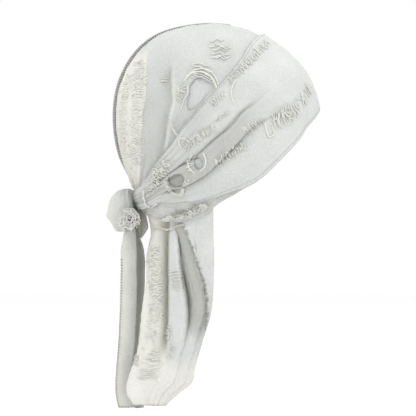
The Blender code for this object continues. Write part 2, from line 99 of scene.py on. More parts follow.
# Side outline of the head form, from straight ahead, anticlockwise in the side view:
# (angle in degrees, radius)
HEAD_OUTLINE = (
    (0, 1.010), (18, 0.968), (32, 0.922), (46, 0.882), (60, 0.862), (90, 0.858),
    (110, 0.884), (133, 0.948), (160, 0.978), (190, 1.002), (210, 1.052), (221, 1.105),
    (231, 1.205), (238, 1.270), (247, 1.500), (260, 1.680), (278, 1.690), (296, 1.580),
    (318, 1.380), (338, 1.160), (350, 1.050),
)

# Lines across the right side, from the forehead's middle back to the knot: (forward, up)
WRAP_UPPER_EDGE = (
    (0.450, 0.735), (0.335, 0.625), (0.200, 0.412), (0.002, 0.177), (-0.134, 0.027),
    (-0.360, -0.245), (-0.560, -0.525), (-0.685, -0.730), (-0.780, -0.805),
)
WRAP_UPPER_FOLD = (
    (0.825, 0.440), (0.640, 0.270), (0.418, 0.077), (0.217, -0.091), (-0.007, -0.317),
    (-0.170, -0.467), (-0.390, -0.608), (-0.600, -0.745), (-0.772, -0.868),
)
WRAP_LOWER_FOLD = (
    (0.955, 0.200), (0.760, 0.060), (0.520, -0.080), (0.283, -0.232), (0.078, -0.445),
    (-0.170, -0.672), (-0.400, -0.780), (-0.600, -0.845), (-0.762, -0.900),
)
WRAP_LOWER_EDGE = (
    (1.010, -0.005), (0.930, -0.124), (0.785, -0.325), (0.620, -0.493), (0.384, -0.707),
    (0.084, -0.822), (-0.230, -0.915), (-0.520, -0.930), (-0.742, -0.960),
)
BAND_UPPER_EDGE = (
    (0.470, -0.560), (0.240, -0.690), (0.060, -0.740), (-0.180, -0.800), (-0.440, -0.830),
    (-0.600, -0.800), (-0.780, -0.795),
)
BAND_LOWER_EDGE = (
    (0.430, -0.670), (0.232, -0.807), (0.040, -0.918), (-0.155, -1.080), (-0.390, -1.112),
    (-0.580, -1.080), (-0.720, -1.015),
)
CROWN_EDGE = (
    (-0.750, -0.825), (-0.580, -0.868), (-0.380, -0.895), (-0.160, -0.895), (0.080, -0.785),
    (0.240, -0.715), (0.400, -0.620), (0.640, -0.450),
)
CROWN_NAPE_ANGLE = 225.5   # where the crown ends on the middle plane, behind and in front
CROWN_BROW_ANGLE = 1.0
CROWN_TUCK = ((-0.440, 0.300), (-0.425, 0.060), (-0.440, -0.120), (-0.490, -0.330))
TUCK_AHEAD = 0.16          # how far the tuck fades out on the flat map, before and behind
TUCK_BEHIND = 0.05

# Where the two folds of the wrap lie, as shares of its width
UPPER_FOLD_AT = 7 / 16
LOWER_FOLD_AT = 11 / 16

# Folds of the wrap along its length, from forehead to knot, as shares of their full height:
# (along, roll, upper slack, lower slack)
WRAP_FOLDS = (
    (0.00, 0.00, 0.10, 0.10),
    (0.25, 0.00, 0.45, 0.20),
    (0.42, 0.25, 0.90, 0.35),
    (0.60, 1.00, 1.00, 0.60),
    (0.74, 0.80, 0.80, 0.80),
    (0.86, 0.36, 0.40, 0.40),
    (1.00, 0.10, 0.12, 0.12),
)

# Side outline of the flap below the band's lower edge: (drop, back edge, front edge),
# drop as a share of FLAP_DROP, edges forward of the head's centre in shares of HEAD_RADIUS
FLAP_OUTLINE = (
    (-0.15, -0.740, -0.030),
    (-0.07, -0.690, -0.030),
    (0.00, -0.650, -0.030),
    (0.25, -0.717, -0.022),
    (0.50, -0.781, -0.055),
    (0.65, -0.808, -0.136),
    (0.80, -0.852, -0.212),
    (0.88, -0.883, -0.250),
    (0.94, -0.884, -0.380),
    (1.00, -0.810, -0.495),
)
FLAP_LEAVES_NECK = -1.150      # height where it starts to hang, in shares of HEAD_RADIUS
# How the flap draws in as it hangs: (drop, right side, back edge, left side), each a
# distance from the middle plane in shares of half the NECK_BREADTH
FLAP_SPREAD = (
    (0.00, -1.00, 0.00, 1.00),
    (0.14, -0.99, -0.13, 0.94),
    (0.30, -0.97, -0.22, 0.80),
    (0.60, -0.88, -0.26, 0.40),
    (0.85, -0.70, -0.32, 0.00),
    (1.00, -0.58, -0.36, -0.16),
)
# Folds down each side of the flap, by their place from the back edge (0) to the front (1):
# (drop, soft valley, deep fold, seamed fold)
RIGHT_FLAP_FOLDS = (
    (0.00, 0.27, 0.37, 0.52),
    (0.25, 0.35, 0.54, 0.71),
    (0.45, 0.40, 0.68, 0.87),
    (0.60, 0.44, 0.74, 0.87),
    (1.00, 0.44, 0.70, 0.82),
)
LEFT_FLAP_FOLDS = (
    (0.00, 0.25, 0.45, 0.62),
    (0.50, 0.30, 0.52, 0.74),
    (1.00, 0.36, 0.60, 0.80),
)
# Shares of the grid given to the stretches between back edge, folds and front edge
FLAP_STOPS = (0, 5 / 16, 9 / 16, 12 / 16, 1)
# Section across the folds: (share of the grid, how far it stands out)
FLAP_FOLD_SECTION = (
    (0.0, 0.00), (3 / 16, 0.15), (5 / 16, -0.25), (6 / 16, 0.05), (8 / 16, 0.30),
    (9 / 16, -0.95), (10 / 16, 0.10), (11 / 16, 0.45), (12 / 16, 0.40), (13 / 16, -0.10),
    (1.0, 0.00),
)

# Sections of the knot from top to bottom: (height, front, back, half width), as shares of
# KNOT_HEIGHT, KNOT_DEPTH, KNOT_DEPTH and KNOT_WIDTH
KNOT_SECTIONS = (
    (1.00, 0.27, 0.42, 0.10),
    (0.97, 0.20, 0.58, 0.27),
    (0.90, 0.13, 0.74, 0.38),
    (0.74, 0.04, 0.92, 0.47),
    (0.50, 0.00, 1.01, 0.50),
    (0.34, 0.00, 1.04, 0.47),
    (0.22, 0.02, 0.90, 0.43),
    (0.08, 0.05, 0.78, 0.39),
    (0.00, 0.08, 0.70, 0.34),
)
KNOT_ANGLE = 230.5       # where on the head form's outline its front is seated
KNOT_TOP = -0.79         # height of its top above the head's centre, in shares of HEAD_RADIUS
ROSETTE_PLACE = (0.27, 0.30)   # back from the knot's front and up from its foot, as shares

# Sections of a hanging tie: (drop, back edge, fold, front edge, face), the edges forward of
# the knot's middle in shares of TAIL_WIDTH, the outer face out from the middle plane in
# shares of TAIL_FOLD
RIGHT_TAIL_SECTIONS = (
    (0.00, -0.16, 0.82, 1.06, 0.55),
    (0.13, -0.09, 0.80, 1.25, 0.50),
    (0.34, -0.10, 0.80, 1.25, 0.40),
    (0.53, -0.17, 0.74, 1.08, 0.32),
    (0.67, -0.26, 0.64, 1.00, 0.24),
    (0.82, -0.38, 0.46, 0.90, 0.14),
    (0.92, -0.38, 0.46, 1.00, 0.08),
    (1.00, -0.24, 0.74, 1.20, 0.05),
)
LEFT_TAIL_SECTIONS = (
    (0.00, -0.08, 0.62, 0.70, 0.62),
    (0.20, 0.00, 0.70, 0.84, 0.90),
    (0.60, 0.04, 0.86, 1.02, 1.55),
    (1.00, -0.10, 0.90, 1.10, 2.10),
)
LEFT_TAIL_FOLD = 0.0070
TAIL_CROWN = 0.12        # how far a tie's outer face swells, in shares of TAIL_FOLD


def smooth_table(at, places, values):
    """Values of a table between its rows, on a curve without corners."""
    places = np.asarray(places, float)
    values = np.asarray(values, float)
    at = np.clip(np.asarray(at, float), places[0], places[-1])
    slopes = np.gradient(values, places, axis=0)
    row = np.clip(np.searchsorted(places, at, side="right") - 1, 0, len(places) - 2)
    span = places[row + 1] - places[row]
    t = (at - places[row]) / span
    if values.ndim > 1:
        t, span = t[..., None], span[..., None]
    rise = t * t * (3 - 2 * t)
    bend_in = t * (1 - t) ** 2 * span
    bend_out = t * t * (t - 1) * span
    return (values[row] * (1 - rise) + values[row + 1] * rise
            + slopes[row] * bend_in + slopes[row + 1] * bend_out)


def column(table, at, index):
    """One column of a table, read between its rows."""
    rows = np.array(table)
    return smooth_table(at, rows[:, 0], rows[:, index])


def ease(value):
    """A soft step from 0 to 1."""
    value = np.clip(value, 0, 1)
    return value * value * (3 - 2 * value)


def hump(value):
    """A soft rise from 0 at either end of 0..1 to 1 in the middle."""
    return np.sin(np.pi * np.clip(value, 0, 1))


def outline_radius(angle):
    """Radius of the head form's side outline at an angle in radians."""
    rows = np.array(HEAD_OUTLINE)
    degrees = np.concatenate([rows[-2:, 0] - 360, rows[:, 0], rows[:2, 0] + 360])
    radii = np.concatenate([rows[-2:, 1], rows[:, 1], rows[:2, 1]])
    return HEAD_RADIUS * smooth_table(np.degrees(angle) % 360, degrees, radii)


CENTRE_Z = -float(outline_radius(math.pi / 2))
EAR_LEVEL = -0.25 * HEAD_RADIUS
NAPE_LEVEL = -1.15 * HEAD_RADIUS


def half_breadth(up):
    """Half the head form's breadth at a height above its centre, narrowing to the neck."""
    narrowing = ease((up - EAR_LEVEL) / (NAPE_LEVEL - EAR_LEVEL))
    return (HEAD_BREADTH + (NECK_BREADTH - HEAD_BREADTH) * narrowing) / 2


def level(points):
    """1 on the head form, less inside it and more outside."""
    x, y, up = points[..., 0], points[..., 1], points[..., 2] - CENTRE_Z
    side = np.hypot(x, up) / outline_radius(np.arctan2(up, x))
    across = np.abs(y) / half_breadth(up)
    return side ** ROUNDNESS + across ** ROUNDNESS


def normals(points):
    """Directions straight out of the head form."""
    step = 1e-5
    slopes = [level(points + step * axis) - level(points - step * axis) for axis in np.eye(3)]
    slopes = np.stack(slopes, -1)
    return slopes / np.linalg.norm(slopes, axis=-1, keepdims=True)


def to_chart(places):
    """Flat map of one side of the head, from places in the side view.

    The ear is at its middle and the middle plane is the circle of radius 1 round it.
    """
    places = np.asarray(places, float)
    forward, up = places[..., 0], places[..., 1]
    angle = np.arctan2(up, forward)
    reach = np.minimum(np.hypot(forward, up) * HEAD_RADIUS / outline_radius(angle), 1)
    rest = (1 - reach ** ROUNDNESS) ** (1 / ROUNDNESS)
    turn = np.arctan2(reach, rest) / (math.pi / 2)
    return np.stack((turn * np.cos(angle), turn * np.sin(angle)), -1)


def on_head(chart, lift, side):
    """Points over the head form, from its flat map; side is -1 on the right and 1 on the left."""
    turn = np.hypot(chart[..., 0], chart[..., 1]) * math.pi / 2
    angle = np.arctan2(chart[..., 1], chart[..., 0])
    swell = np.abs(np.sin(turn)) ** ROUNDNESS + np.abs(np.cos(turn)) ** ROUNDNESS
    reach = np.sin(turn) * outline_radius(angle) / swell ** (1 / ROUNDNESS)
    up = reach * np.sin(angle)
    y = side * np.cos(turn) * half_breadth(up) / swell ** (1 / ROUNDNESS)
    points = np.stack((reach * np.cos(angle), y, CENTRE_Z + up), -1)
    return points + np.asarray(lift)[..., None] * normals(points)


def chart_line(places, at, from_middle=False):
    """Points of a line on the flat map, at shares of its length.

    A line from the middle plane starts on it, and runs on smoothly as its mirror image.
    """
    chart = to_chart(places)
    if from_middle:
        chart[0] /= np.linalg.norm(chart[0])
    steps = np.linalg.norm(np.diff(chart, axis=0), axis=1)
    along = np.concatenate([[0], np.cumsum(steps)]) / steps.sum()
    if from_middle:
        turn = np.linalg.norm(chart[1])
        chart = np.vstack([chart[1] * (2 - turn) / turn, chart])
        along = np.concatenate([[-along[1]], along])
    return smooth_table(np.maximum(at, 0), along, chart)


def crown_clear(chart):
    """Distance on the flat map from the wrap's upper edge out over the bare crown."""
    line = chart_line(WRAP_UPPER_EDGE, np.linspace(0, 1, 61))
    offsets = chart[..., None, :] - line
    distance = np.linalg.norm(offsets, axis=-1)
    nearest = distance.argmin(-1)
    course = np.gradient(line, axis=0)[nearest]
    offset = np.take_along_axis(offsets, nearest[..., None, None], -2)[..., 0, :]
    above = course[..., 1] * offset[..., 0] - course[..., 0] * offset[..., 1]
    return np.sign(above) * distance.min(-1)


def tuck_lift(chart):
    """How far the crown's tuck lifts the cloth, by place on the flat map."""
    line = chart_line(CROWN_TUCK, np.linspace(0, 1, 25))
    offsets = chart[..., None, :] - line
    distance = np.linalg.norm(offsets, axis=-1)
    nearest = distance.argmin(-1)
    ahead = np.take_along_axis(offsets[..., 0], nearest[..., None], -1)[..., 0]
    reach = np.where(ahead > 0, TUCK_AHEAD, TUCK_BEHIND)
    fade = hump(nearest / (len(line) - 1)) ** 0.5
    return TUCK_HEIGHT * fade * ease(1 - distance.min(-1) / reach)


def crown_surface(u, v):
    """The cap: u from the nape to the forehead, v from the right edge to the left."""
    across = 2 * v - 1
    angle = np.radians(CROWN_NAPE_ANGLE + (CROWN_BROW_ANGLE - CROWN_NAPE_ANGLE) * u)
    middle = np.stack((np.cos(angle), np.sin(angle)), -1)
    edge = chart_line(CROWN_EDGE, u)
    chart = middle + (edge - middle) * np.abs(across)[..., None]
    side = np.where(across > 0, 1, -1)
    gathers = 0.5 - 0.5 * np.cos(math.tau * GATHERS * across)
    gathers = gathers * ease(1 - u / 0.22) * ease(u / 0.03)
    beside_seam = ease((np.abs(across) - 0.08) / 0.15)
    lift = GATHER_HEIGHT * gathers * beside_seam + np.where(side < 0, tuck_lift(chart), 0)
    lift = lift * ease((crown_clear(chart) - 0.03) / 0.08)
    return on_head(chart, lift, side)


def wrap_chart(along, v):
    """Flat map of the wrap: along from the forehead to the knot, v from upper to lower edge."""
    lines = (WRAP_UPPER_EDGE, WRAP_UPPER_FOLD, WRAP_LOWER_FOLD, WRAP_LOWER_EDGE)
    upper, upper_fold, lower_fold, lower = (chart_line(line, along, True) for line in lines)
    stops = (0, UPPER_FOLD_AT, LOWER_FOLD_AT, 1)
    share = [np.clip((v - a) / (b - a), 0, 1)[..., None] for a, b in zip(stops, stops[1:])]
    return (upper + (upper_fold - upper) * share[0] + (lower_fold - upper_fold) * share[1]
            + (lower - lower_fold) * share[2])


def wrap_lift(along, v):
    """Height of the wrap's inner face: over the crown, over the band, and its own folds."""
    over_crown = CROWN_WALL + LAYER_GAP
    over_band = over_crown + BAND_WALL + LAYER_GAP
    below = ease((v - 0.40) / 0.25) * ease((along - 0.2) / 0.2)
    behind = ease((along - 0.68) / 0.12)
    base = over_crown + (over_band - over_crown) * np.maximum(below, behind)
    roll, upper, lower = (column(WRAP_FOLDS, along, i) for i in (1, 2, 3))
    in_roll = (v - UPPER_FOLD_AT) / (LOWER_FOLD_AT - UPPER_FOLD_AT)
    folds = ROLL_HEIGHT * roll * hump(in_roll) ** 0.6
    folds = folds + WRAP_SLACK * upper * hump(v / UPPER_FOLD_AT)
    folds = folds + WRAP_SLACK * lower * hump((v - LOWER_FOLD_AT) / (1 - LOWER_FOLD_AT))
    return base + folds


def wrap_surface(u, v):
    """The wide tie: u from the knot along the left side, over the forehead, to the knot."""
    run = 2 * u - 1
    along = np.abs(run)
    side = np.where(run > 0, -1, 1)
    return on_head(wrap_chart(along, v), wrap_lift(along, v), side)


def band_surface(u, v):
    """The first turn of the ties, under the wrap's lower edge and round the nape."""
    run = 1 - 2 * u
    along = 1 - np.abs(run)
    side = np.where(run > 0, -1, 1)
    upper = chart_line(BAND_UPPER_EDGE, along)
    lower = chart_line(BAND_LOWER_EDGE, along)
    chart = upper + (lower - upper) * v[..., None]
    turn = np.linalg.norm(chart, axis=-1, keepdims=True)
    meet = chart + (chart / turn - chart) * ease((along[..., None] - 0.8) / 0.2)
    return on_head(meet, 0 * along + CROWN_WALL + LAYER_GAP, side)


def flap_folds(drop, across, table):
    """Folds of one side of the flap, from its back edge (0) to its front edge (1).

    Returns how far the cloth stands out or folds in, and its place from back to front: the
    grid's columns follow the folds, so across runs evenly between the stops.
    """
    marks = [0 * drop] + [column(table, drop, i) for i in (1, 2, 3)] + [1 + 0 * drop]
    place = marks[0]
    for i, stop in enumerate(FLAP_STOPS[:-1]):
        share = np.clip((across - stop) / (FLAP_STOPS[i + 1] - stop), 0, 1)
        place = place + (marks[i + 1] - marks[i]) * share
    depth = np.interp(across, *np.array(FLAP_FOLD_SECTION).T)
    fade = ease(drop / 0.12) * (1 - 0.85 * ease((drop - 0.42) / 0.36))
    return FLAP_FOLD_DEPTH * fade * depth, place


def flap_surface(u, v):
    """The neck flap: u from the right front edge round the nape to the left, v downward."""
    across = 1 - 2 * u
    side = np.where(across > 0, -1, 1)
    tucked = FLAP_TUCKED + (FLAP_TUCKED_FRONT - FLAP_TUCKED) * ease(np.abs(across) / 0.55)
    fall = v * (tucked + FLAP_DROP) - tucked
    drop = fall / FLAP_DROP
    right_folds, right_place = flap_folds(drop, np.abs(across), RIGHT_FLAP_FOLDS)
    left_folds, left_place = flap_folds(drop, np.abs(across), LEFT_FLAP_FOLDS)
    place = np.where(side < 0, right_place, left_place)
    neck_drop = np.minimum(drop, 0)
    neck_back, neck_front = (column(FLAP_OUTLINE, neck_drop, i) for i in (1, 2))
    neck_forward = neck_back + (neck_front - neck_back) * place
    neck_up = FLAP_LEAVES_NECK - np.minimum(fall, 0) / HEAD_RADIUS
    neck = on_head(to_chart(np.stack((neck_forward, neck_up), -1)), 0 * v, side)
    drop = np.maximum(drop, 0)
    back, front = (column(FLAP_OUTLINE, drop, i) for i in (1, 2))
    right, middle, left = (column(FLAP_SPREAD, drop, i) for i in (1, 2, 3))
    outer = np.where(side < 0, right, left)
    bulge = np.abs(neck[..., 1]) / (NECK_BREADTH / 2)
    bulge = np.where(side < 0, bulge, bulge ** (1 + 1.3 * ease(drop / 0.2)))
    folds = np.where(side < 0, right_folds, left_folds)
    y = (middle + (outer - middle) * bulge) * NECK_BREADTH / 2 + side * folds
    hanging = fall > 0
    x = np.where(hanging, (back + (front - back) * place) * HEAD_RADIUS, neck[..., 0])
    y = np.where(hanging, y, neck[..., 1])
    return np.stack((x, y, neck[..., 2] - np.maximum(fall, 0)), -1)


def knot_front():
    """Where the knot's front lies, just behind the band at the nape."""
    angle = math.radians(KNOT_ANGLE)
    layers = CROWN_WALL + BAND_WALL + 2 * LAYER_GAP
    return float(outline_radius(angle) + layers) * math.cos(angle)


def knot_foot():
    """Height of the knot's underside."""
    return CENTRE_Z + KNOT_TOP * HEAD_RADIUS - KNOT_HEIGHT


def knot_section(height):
    """Middle, half depth and half width of the knot, at heights in shares of its own."""
    sections = np.array(KNOT_SECTIONS)[::-1]
    front, back, width = (smooth_table(height, sections[:, 0], sections[:, i]) for i in (1, 2, 3))
    middle = knot_front() - KNOT_DEPTH * (front + back) / 2
    return middle, KNOT_DEPTH * (back - front) / 2, width * KNOT_WIDTH


def knot_side(x, z):
    """The knot's widest half width behind the foot of a rosette centred at x, z."""
    heights = (z - knot_foot() + ROSETTE_RADIUS * np.linspace(-0.2, 0.2, 5)) / KNOT_HEIGHT
    middle, half_depth, half_width = knot_section(heights)
    away = np.abs(x - 0.2 * ROSETTE_RADIUS - middle) / half_depth
    return float(np.max(half_width * np.sqrt(np.maximum(1 - away ** 2, 0))))


def knot_point(turn, height, out):
    """A point on the knot's skin: turn round it from the front, height from its foot."""
    middle, half_depth, half_width = knot_section(height)
    x = middle + (half_depth + out) * np.cos(turn)
    y = (half_width + out) * np.sin(turn)
    return np.stack((x, y, knot_foot() + KNOT_HEIGHT * height), -1)


def rosette_centre():
    """Where the rosette's foot is seated on the knot's right side."""
    back, up = ROSETTE_PLACE
    x = knot_front() - back * KNOT_DEPTH
    z = knot_foot() + up * KNOT_HEIGHT
    return x, -knot_side(x, z) - SEAT_GAP, z


def tail_surface(table, side, drop_length, fold_back):
    """A hanging tie, folded lengthwise: u across from back edge to front edge, v downward."""
    middle = knot_front() - KNOT_DEPTH / 2
    top = knot_foot() - SEAT_GAP

    def surface(u, v):
        back, fold, front, face = (column(table, v, i) for i in (1, 2, 3, 4))
        outer = np.clip(2 * u, 0, 1)
        inner = np.clip(2 * u - 1, 0, 1)
        x = middle + TAIL_WIDTH * (back + (fold - back) * outer + (front - fold) * inner)
        out = TAIL_FOLD * (face + TAIL_CROWN * hump(outer)) - fold_back * inner
        return np.stack((x, side * out, top - drop_length * v), -1)

    return surface


# The drawing of the right side: its upper left corner, forward and up of the origin
SHEET_LEFT = -0.216
SHEET_TOP = 0.0255
MM = 0.001               # the drawing's millimetre
RAY_START = 0.3          # beside the model; rays from there end at its middle plane
LIGHT_GAIN = 0.84        # a tint is this share of the colour seen, as the light brightens it

# Cotton's weave, in metres of cloth
RIB_PITCH = 0.0024
RIB_HEIGHT = 0.2         # as a share of the bump
WEAVE_PITCH = 0.0011

# Threads
WAVES = 16               # waves that make up one uneven relief
SMOOTHINGS = 4           # rounds that draw a torn edge out to a smooth line
END_TAPER = 0.5          # a thread's radius at its very ends, as a share
LEAST_LIFT = 0.0002      # of a thread over its cloth
LADDER_RADIUS = 0.00050
CURL_RADIUS = 0.00045
CURL_POINTS = 11
CURL_LIFT = 0.0016
BRAID_PITCH = 5.0        # in the drawing's millimetres
BRAID_LIFT = 0.0004
YARN_LIFT = 0.0008
STITCH_LIFT = 0.0003
OVERLOCK_WIDTH = 0.0022
OVERLOCK_STEPS = 8       # points in each turn of the thread
SEAM_STEPS = 9


def cloth_colour(red, green, blue):
    """A colour of cloth or thread as seen in the studio's light, from 0 to 255 values."""
    share = np.array((red, green, blue)) / 255
    linear = np.where(share < 0.04045, share / 12.92, ((share + 0.055) / 1.055) ** 2.4)
    return tuple(LIGHT_GAIN * linear)


CREAM = cloth_colour(232, 231, 221)
OFF_WHITE = cloth_colour(226, 228, 225)
PALE_GREY = cloth_colour(216, 218, 215)
MID_GREY = cloth_colour(196, 197, 192)
# The tie's folded-back inner face: partly its own olive, partly painted shade
INNER_OLIVE_AND_SHADE = cloth_colour(150, 151, 139)
WHITE = cloth_colour(238, 238, 231)
THREAD_GREY = cloth_colour(150, 151, 144)
PALE_THREAD = cloth_colour(246, 245, 237)
DARK_GREY = cloth_colour(112, 113, 106)
# Worn cream, its warmth partly painted light falling from behind
WORN_AND_LIT_CREAM = cloth_colour(242, 241, 232)
PANEL_THREAD = cloth_colour(244, 243, 234)
STRIP_THREAD = cloth_colour(184, 185, 178)
TUCK_SHADE = cloth_colour(182, 183, 177)
BAND_GREY = cloth_colour(214, 215, 211)
BAND_SHADE = cloth_colour(150, 151, 145)
# The flap's painted shade in its folds: behind the ridge, in the deep fold and on the folded strip
FLAP_SHADE = cloth_colour(166, 166, 154)
FLAP_PANEL = cloth_colour(224, 227, 225)
FLAP_HOLLOW_SHADE = cloth_colour(196, 197, 189)
FLAP_DEEP_SHADE = cloth_colour(186, 187, 181)
FLAP_STRIP_SHADE = cloth_colour(190, 191, 185)
FLAP_FRONT = cloth_colour(224, 226, 223)
FLAP_FOOT = cloth_colour(246, 245, 238)
SEAM_GREY = cloth_colour(196, 197, 190)
THROAT_OLIVE = cloth_colour(178, 178, 164)
NAPE_SHADE = cloth_colour(160, 161, 155)

# The cloths' names, as the CAD model has them
CROWN = "crown"
WRAP = "forehead_wrap"
BAND = "lower_band"
FLAP = "neck_flap"
RIGHT_TIE = "tie_tail_right"
LEFT_TIE = "tie_tail_left"


def ripples(points, wavelength, seed):
    """Smooth uneven relief, about -1 to 1, with bumps of one size."""
    rng = np.random.default_rng(seed)
    waves = rng.normal(size=(WAVES, 3))
    pace = math.tau / wavelength * rng.uniform(0.6, 1.3, WAVES)
    waves *= (pace / np.linalg.norm(waves, axis=1))[:, None]
    return np.sin(points @ waves.T + rng.uniform(0, math.tau, WAVES)).sum(-1) / math.sqrt(WAVES)


def on_sheet(points):
    """Place of points on the drawing of the side, in its millimetres."""
    return (points[..., 0] - SHEET_LEFT) * 1000, (SHEET_TOP - points[..., 2]) * 1000


def from_sheet(places):
    """Forward and up, in metres, of places on the drawing."""
    places = np.asarray(places, float)
    return SHEET_LEFT + places[..., 0] / 1000, SHEET_TOP - places[..., 1] / 1000


def along_path(path, at):
    """Points at shares of a path's length."""
    path = np.asarray(path, float)
    steps = np.linalg.norm(np.diff(path, axis=0), axis=1)
    return smooth_table(at, np.concatenate([[0], np.cumsum(steps)]) / steps.sum(), path)


def lengths_along(path):
    """Length of a path from its start to each of its points."""
    return np.concatenate([[0], np.cumsum(np.linalg.norm(np.diff(path, axis=0), axis=1))])


def path_length(path):
    """Whole length of a path."""
    return np.linalg.norm(np.diff(np.asarray(path, float), axis=0), axis=1).sum()


def inside(outline, across, down):
    """Whether places on the drawing lie inside an outline."""
    outline = np.asarray(outline, float)
    result = np.zeros(np.shape(across), bool)
    for (x0, y0), (x1, y1) in zip(outline, np.roll(outline, -1, axis=0)):
        crosses = (y0 > down) != (y1 > down)
        result ^= crosses & (across < (x1 - x0) * (down - y0) / (y1 - y0 + 1e-12) + x0)
    return result


class Finish:
    """A soft rough material: the painted tint times a shade, with a bump."""

    def __init__(self, name, roughness, sheen, sheen_roughness, specular):
        self.material = bpy.data.materials.new(name)
        self.material.use_nodes = True
        self.tree = self.material.node_tree
        self.shader = self.tree.nodes["Principled BSDF"]
        self.shader.inputs["Roughness"].default_value = roughness
        self.shader.inputs["Sheen Weight"].default_value = sheen
        self.shader.inputs["Sheen Roughness"].default_value = sheen_roughness
        self.shader.inputs["Specular IOR Level"].default_value = specular

    def node(self, kind, inputs=None, **settings):
        """A new node, with a plain value or another node's output on each named input."""
        node = self.tree.nodes.new("ShaderNode" + kind)
        for name, value in settings.items():
            setattr(node, name, value)
        for name, value in (inputs or {}).items():
            if isinstance(value, bpy.types.NodeSocket):
                self.tree.links.new(value, node.inputs[name])
            else:
                node.inputs[name].default_value = value
        return node

    def math(self, operation, *values):
        """Output of a Math node."""
        return self.node("Math", dict(enumerate(values)), operation=operation).outputs["Value"]

    def colour(self, shade):
        """Joins the tint, times a shade, to the shader."""
        tint = self.node("VertexColor", layer_name="tint").outputs["Color"]
        mix = self.node("VectorMath", {0: tint, "Scale": shade}, operation="SCALE")
        self.tree.links.new(mix.outputs["Vector"], self.shader.inputs["Base Color"])

    def bump(self, **inputs):
        """Joins a bump to the shader."""
        bump = self.node("Bump", inputs)
        self.tree.links.new(bump.outputs["Normal"], self.shader.inputs["Normal"])


def cloth_material(name):
    """Washed woven cotton: warp and weft, slubs and faint mottling over the painted tint."""
    finish = Finish(name, roughness=0.92, sheen=0.15, sheen_roughness=0.6, specular=0.25)
    place = finish.node("UVMap", uv_map="cloth").outputs["UV"]

    def wave(direction, pitch, distortion):
        inputs = {"Vector": place, "Scale": math.tau / 20 / pitch, "Distortion": distortion,
                  "Detail": 2, "Detail Scale": 1.5}
        return finish.node("TexWave", inputs, bands_direction=direction).outputs["Fac"]

    def noise(scale, detail):
        inputs = {"Vector": place, "Scale": scale, "Detail": detail}
        return finish.node("TexNoise", inputs).outputs["Fac"]

    weave = finish.math("ADD", wave("X", WEAVE_PITCH, 1.2), wave("Y", WEAVE_PITCH, 1.2))
    ribs = finish.math("MULTIPLY", wave("X", RIB_PITCH, 2.0), RIB_HEIGHT)
    height = finish.math("ADD", finish.math("MULTIPLY", weave, 0.25), ribs)
    height = finish.math("ADD", height, finish.math("MULTIPLY", noise(420, 3), 1.2))
    finish.bump(Height=height, Strength=0.6, Distance=0.0009)
    mottle = finish.math("MULTIPLY_ADD", noise(38, 5), 0.16, 0.90)
    speckle = finish.math("MULTIPLY_ADD", ribs, 0.05, 0.96)
    grain = finish.math("MULTIPLY_ADD", noise(650, 2), 0.34, 0.85)
    finish.colour(finish.math("MULTIPLY", finish.math("MULTIPLY", mottle, speckle), grain))
    return finish.material


def thread_material(name):
    """Spun yarn, rough and a little fuzzy."""
    finish = Finish(name, roughness=0.95, sheen=0.3, sheen_roughness=0.5, specular=0.2)
    place = finish.node("TexCoord").outputs["Object"]
    fibres = finish.node("TexNoise", {"Vector": place, "Scale": 1800}).outputs["Fac"]
    shade = finish.node("MapRange", {"Value": fibres, "To Min": 0.88, "To Max": 1.08})
    finish.colour(shade.outputs["Result"])
    finish.bump(Height=fibres, Distance=0.0003)
    return finish.material


COTTON = cloth_material("washed_cotton")
THREAD = thread_material("spun_thread")


def grid_faces(columns, rows, closed=False):
    """Faces of a grid of points, by column; a closed one joins its last to its first."""
    index = np.arange(columns * rows).reshape(columns, rows)
    if closed:
        index = np.vstack([index, index[:1]])
    corners = (index[:-1, :-1], index[1:, :-1], index[1:, 1:], index[:-1, 1:])
    return np.stack([corner.ravel() for corner in corners], -1)


def mesh_piece(name, points, faces, tints, finish, uvs=None):
    """A smooth mesh object with its painted tint, riding on the body."""
    mesh = bpy.data.meshes.new(name)
    mesh.from_pydata(points, [], faces)
    layer = mesh.color_attributes.new("tint", "FLOAT_COLOR", "POINT")
    colours = np.ones((len(points), 4), np.float32)
    colours[:, :3] = tints
    layer.data.foreach_set("color", colours.ravel())
    if uvs is not None:
        corners = np.zeros(len(mesh.loops), np.int32)
        mesh.loops.foreach_get("vertex_index", corners)
        flat = mesh.uv_layers.new(name="cloth")
        flat.data.foreach_set("uv", uvs[corners].astype(np.float32).ravel())
    mesh.shade_smooth()
    mesh.materials.append(finish)
    piece = bpy.data.objects.new(name, mesh)
    bpy.context.scene.collection.objects.link(piece)
    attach(piece, BODY)
    return piece


def thicken(piece, wall, offset):
    """Gives a piece of cloth its wall: outward for offset 1, inward for -1, both for 0."""
    modifier = piece.modifiers.new("Wall", "SOLIDIFY")
    modifier.thickness = wall
    modifier.offset = offset


def grid_part(name, points, faces, tints, uvs):
    """A cotton piece of some faces of a grid, with only the points that they use."""
    used = np.unique(faces)
    renumber = np.zeros(len(points), int)
    renumber[used] = np.arange(len(used))
    faces = renumber[faces].tolist()
    return mesh_piece(name, points[used], faces, tints[used], COTTON, uvs[used])


def grid_piece(name, points, tints, uvs, wall):
    """A cotton piece on a whole grid of points, thickened both ways."""
    faces = grid_faces(*points.shape[:2]).tolist()
    piece = mesh_piece(name, points.reshape(-1, 3), faces, tints, COTTON, uvs)
    thicken(piece, wall, 0)
    return piece


def relaxed(points, kept, torn):
    """The points with the steps along a torn edge drawn out to a smooth line."""
    rim = np.intersect1d(np.unique(kept), np.unique(torn)) if len(torn) else []
    if len(rim) == 0:
        return points
    pairs = np.concatenate([kept[:, [i, (i + 1) % 4]] for i in range(4)])
    pairs = pairs[np.isin(pairs, rim).all(1)]
    moved = points.copy()
    for _ in range(SMOOTHINGS):
        total = np.zeros_like(points)
        count = np.zeros(len(points))
        for a, b in ((0, 1), (1, 0)):
            np.add.at(total, pairs[:, a], moved[pairs[:, b]])
            np.add.at(count, pairs[:, a], 1)
        some = count > 0
        moved[some] = 0.5 * moved[some] + 0.5 * total[some] / count[some, None]
    return moved


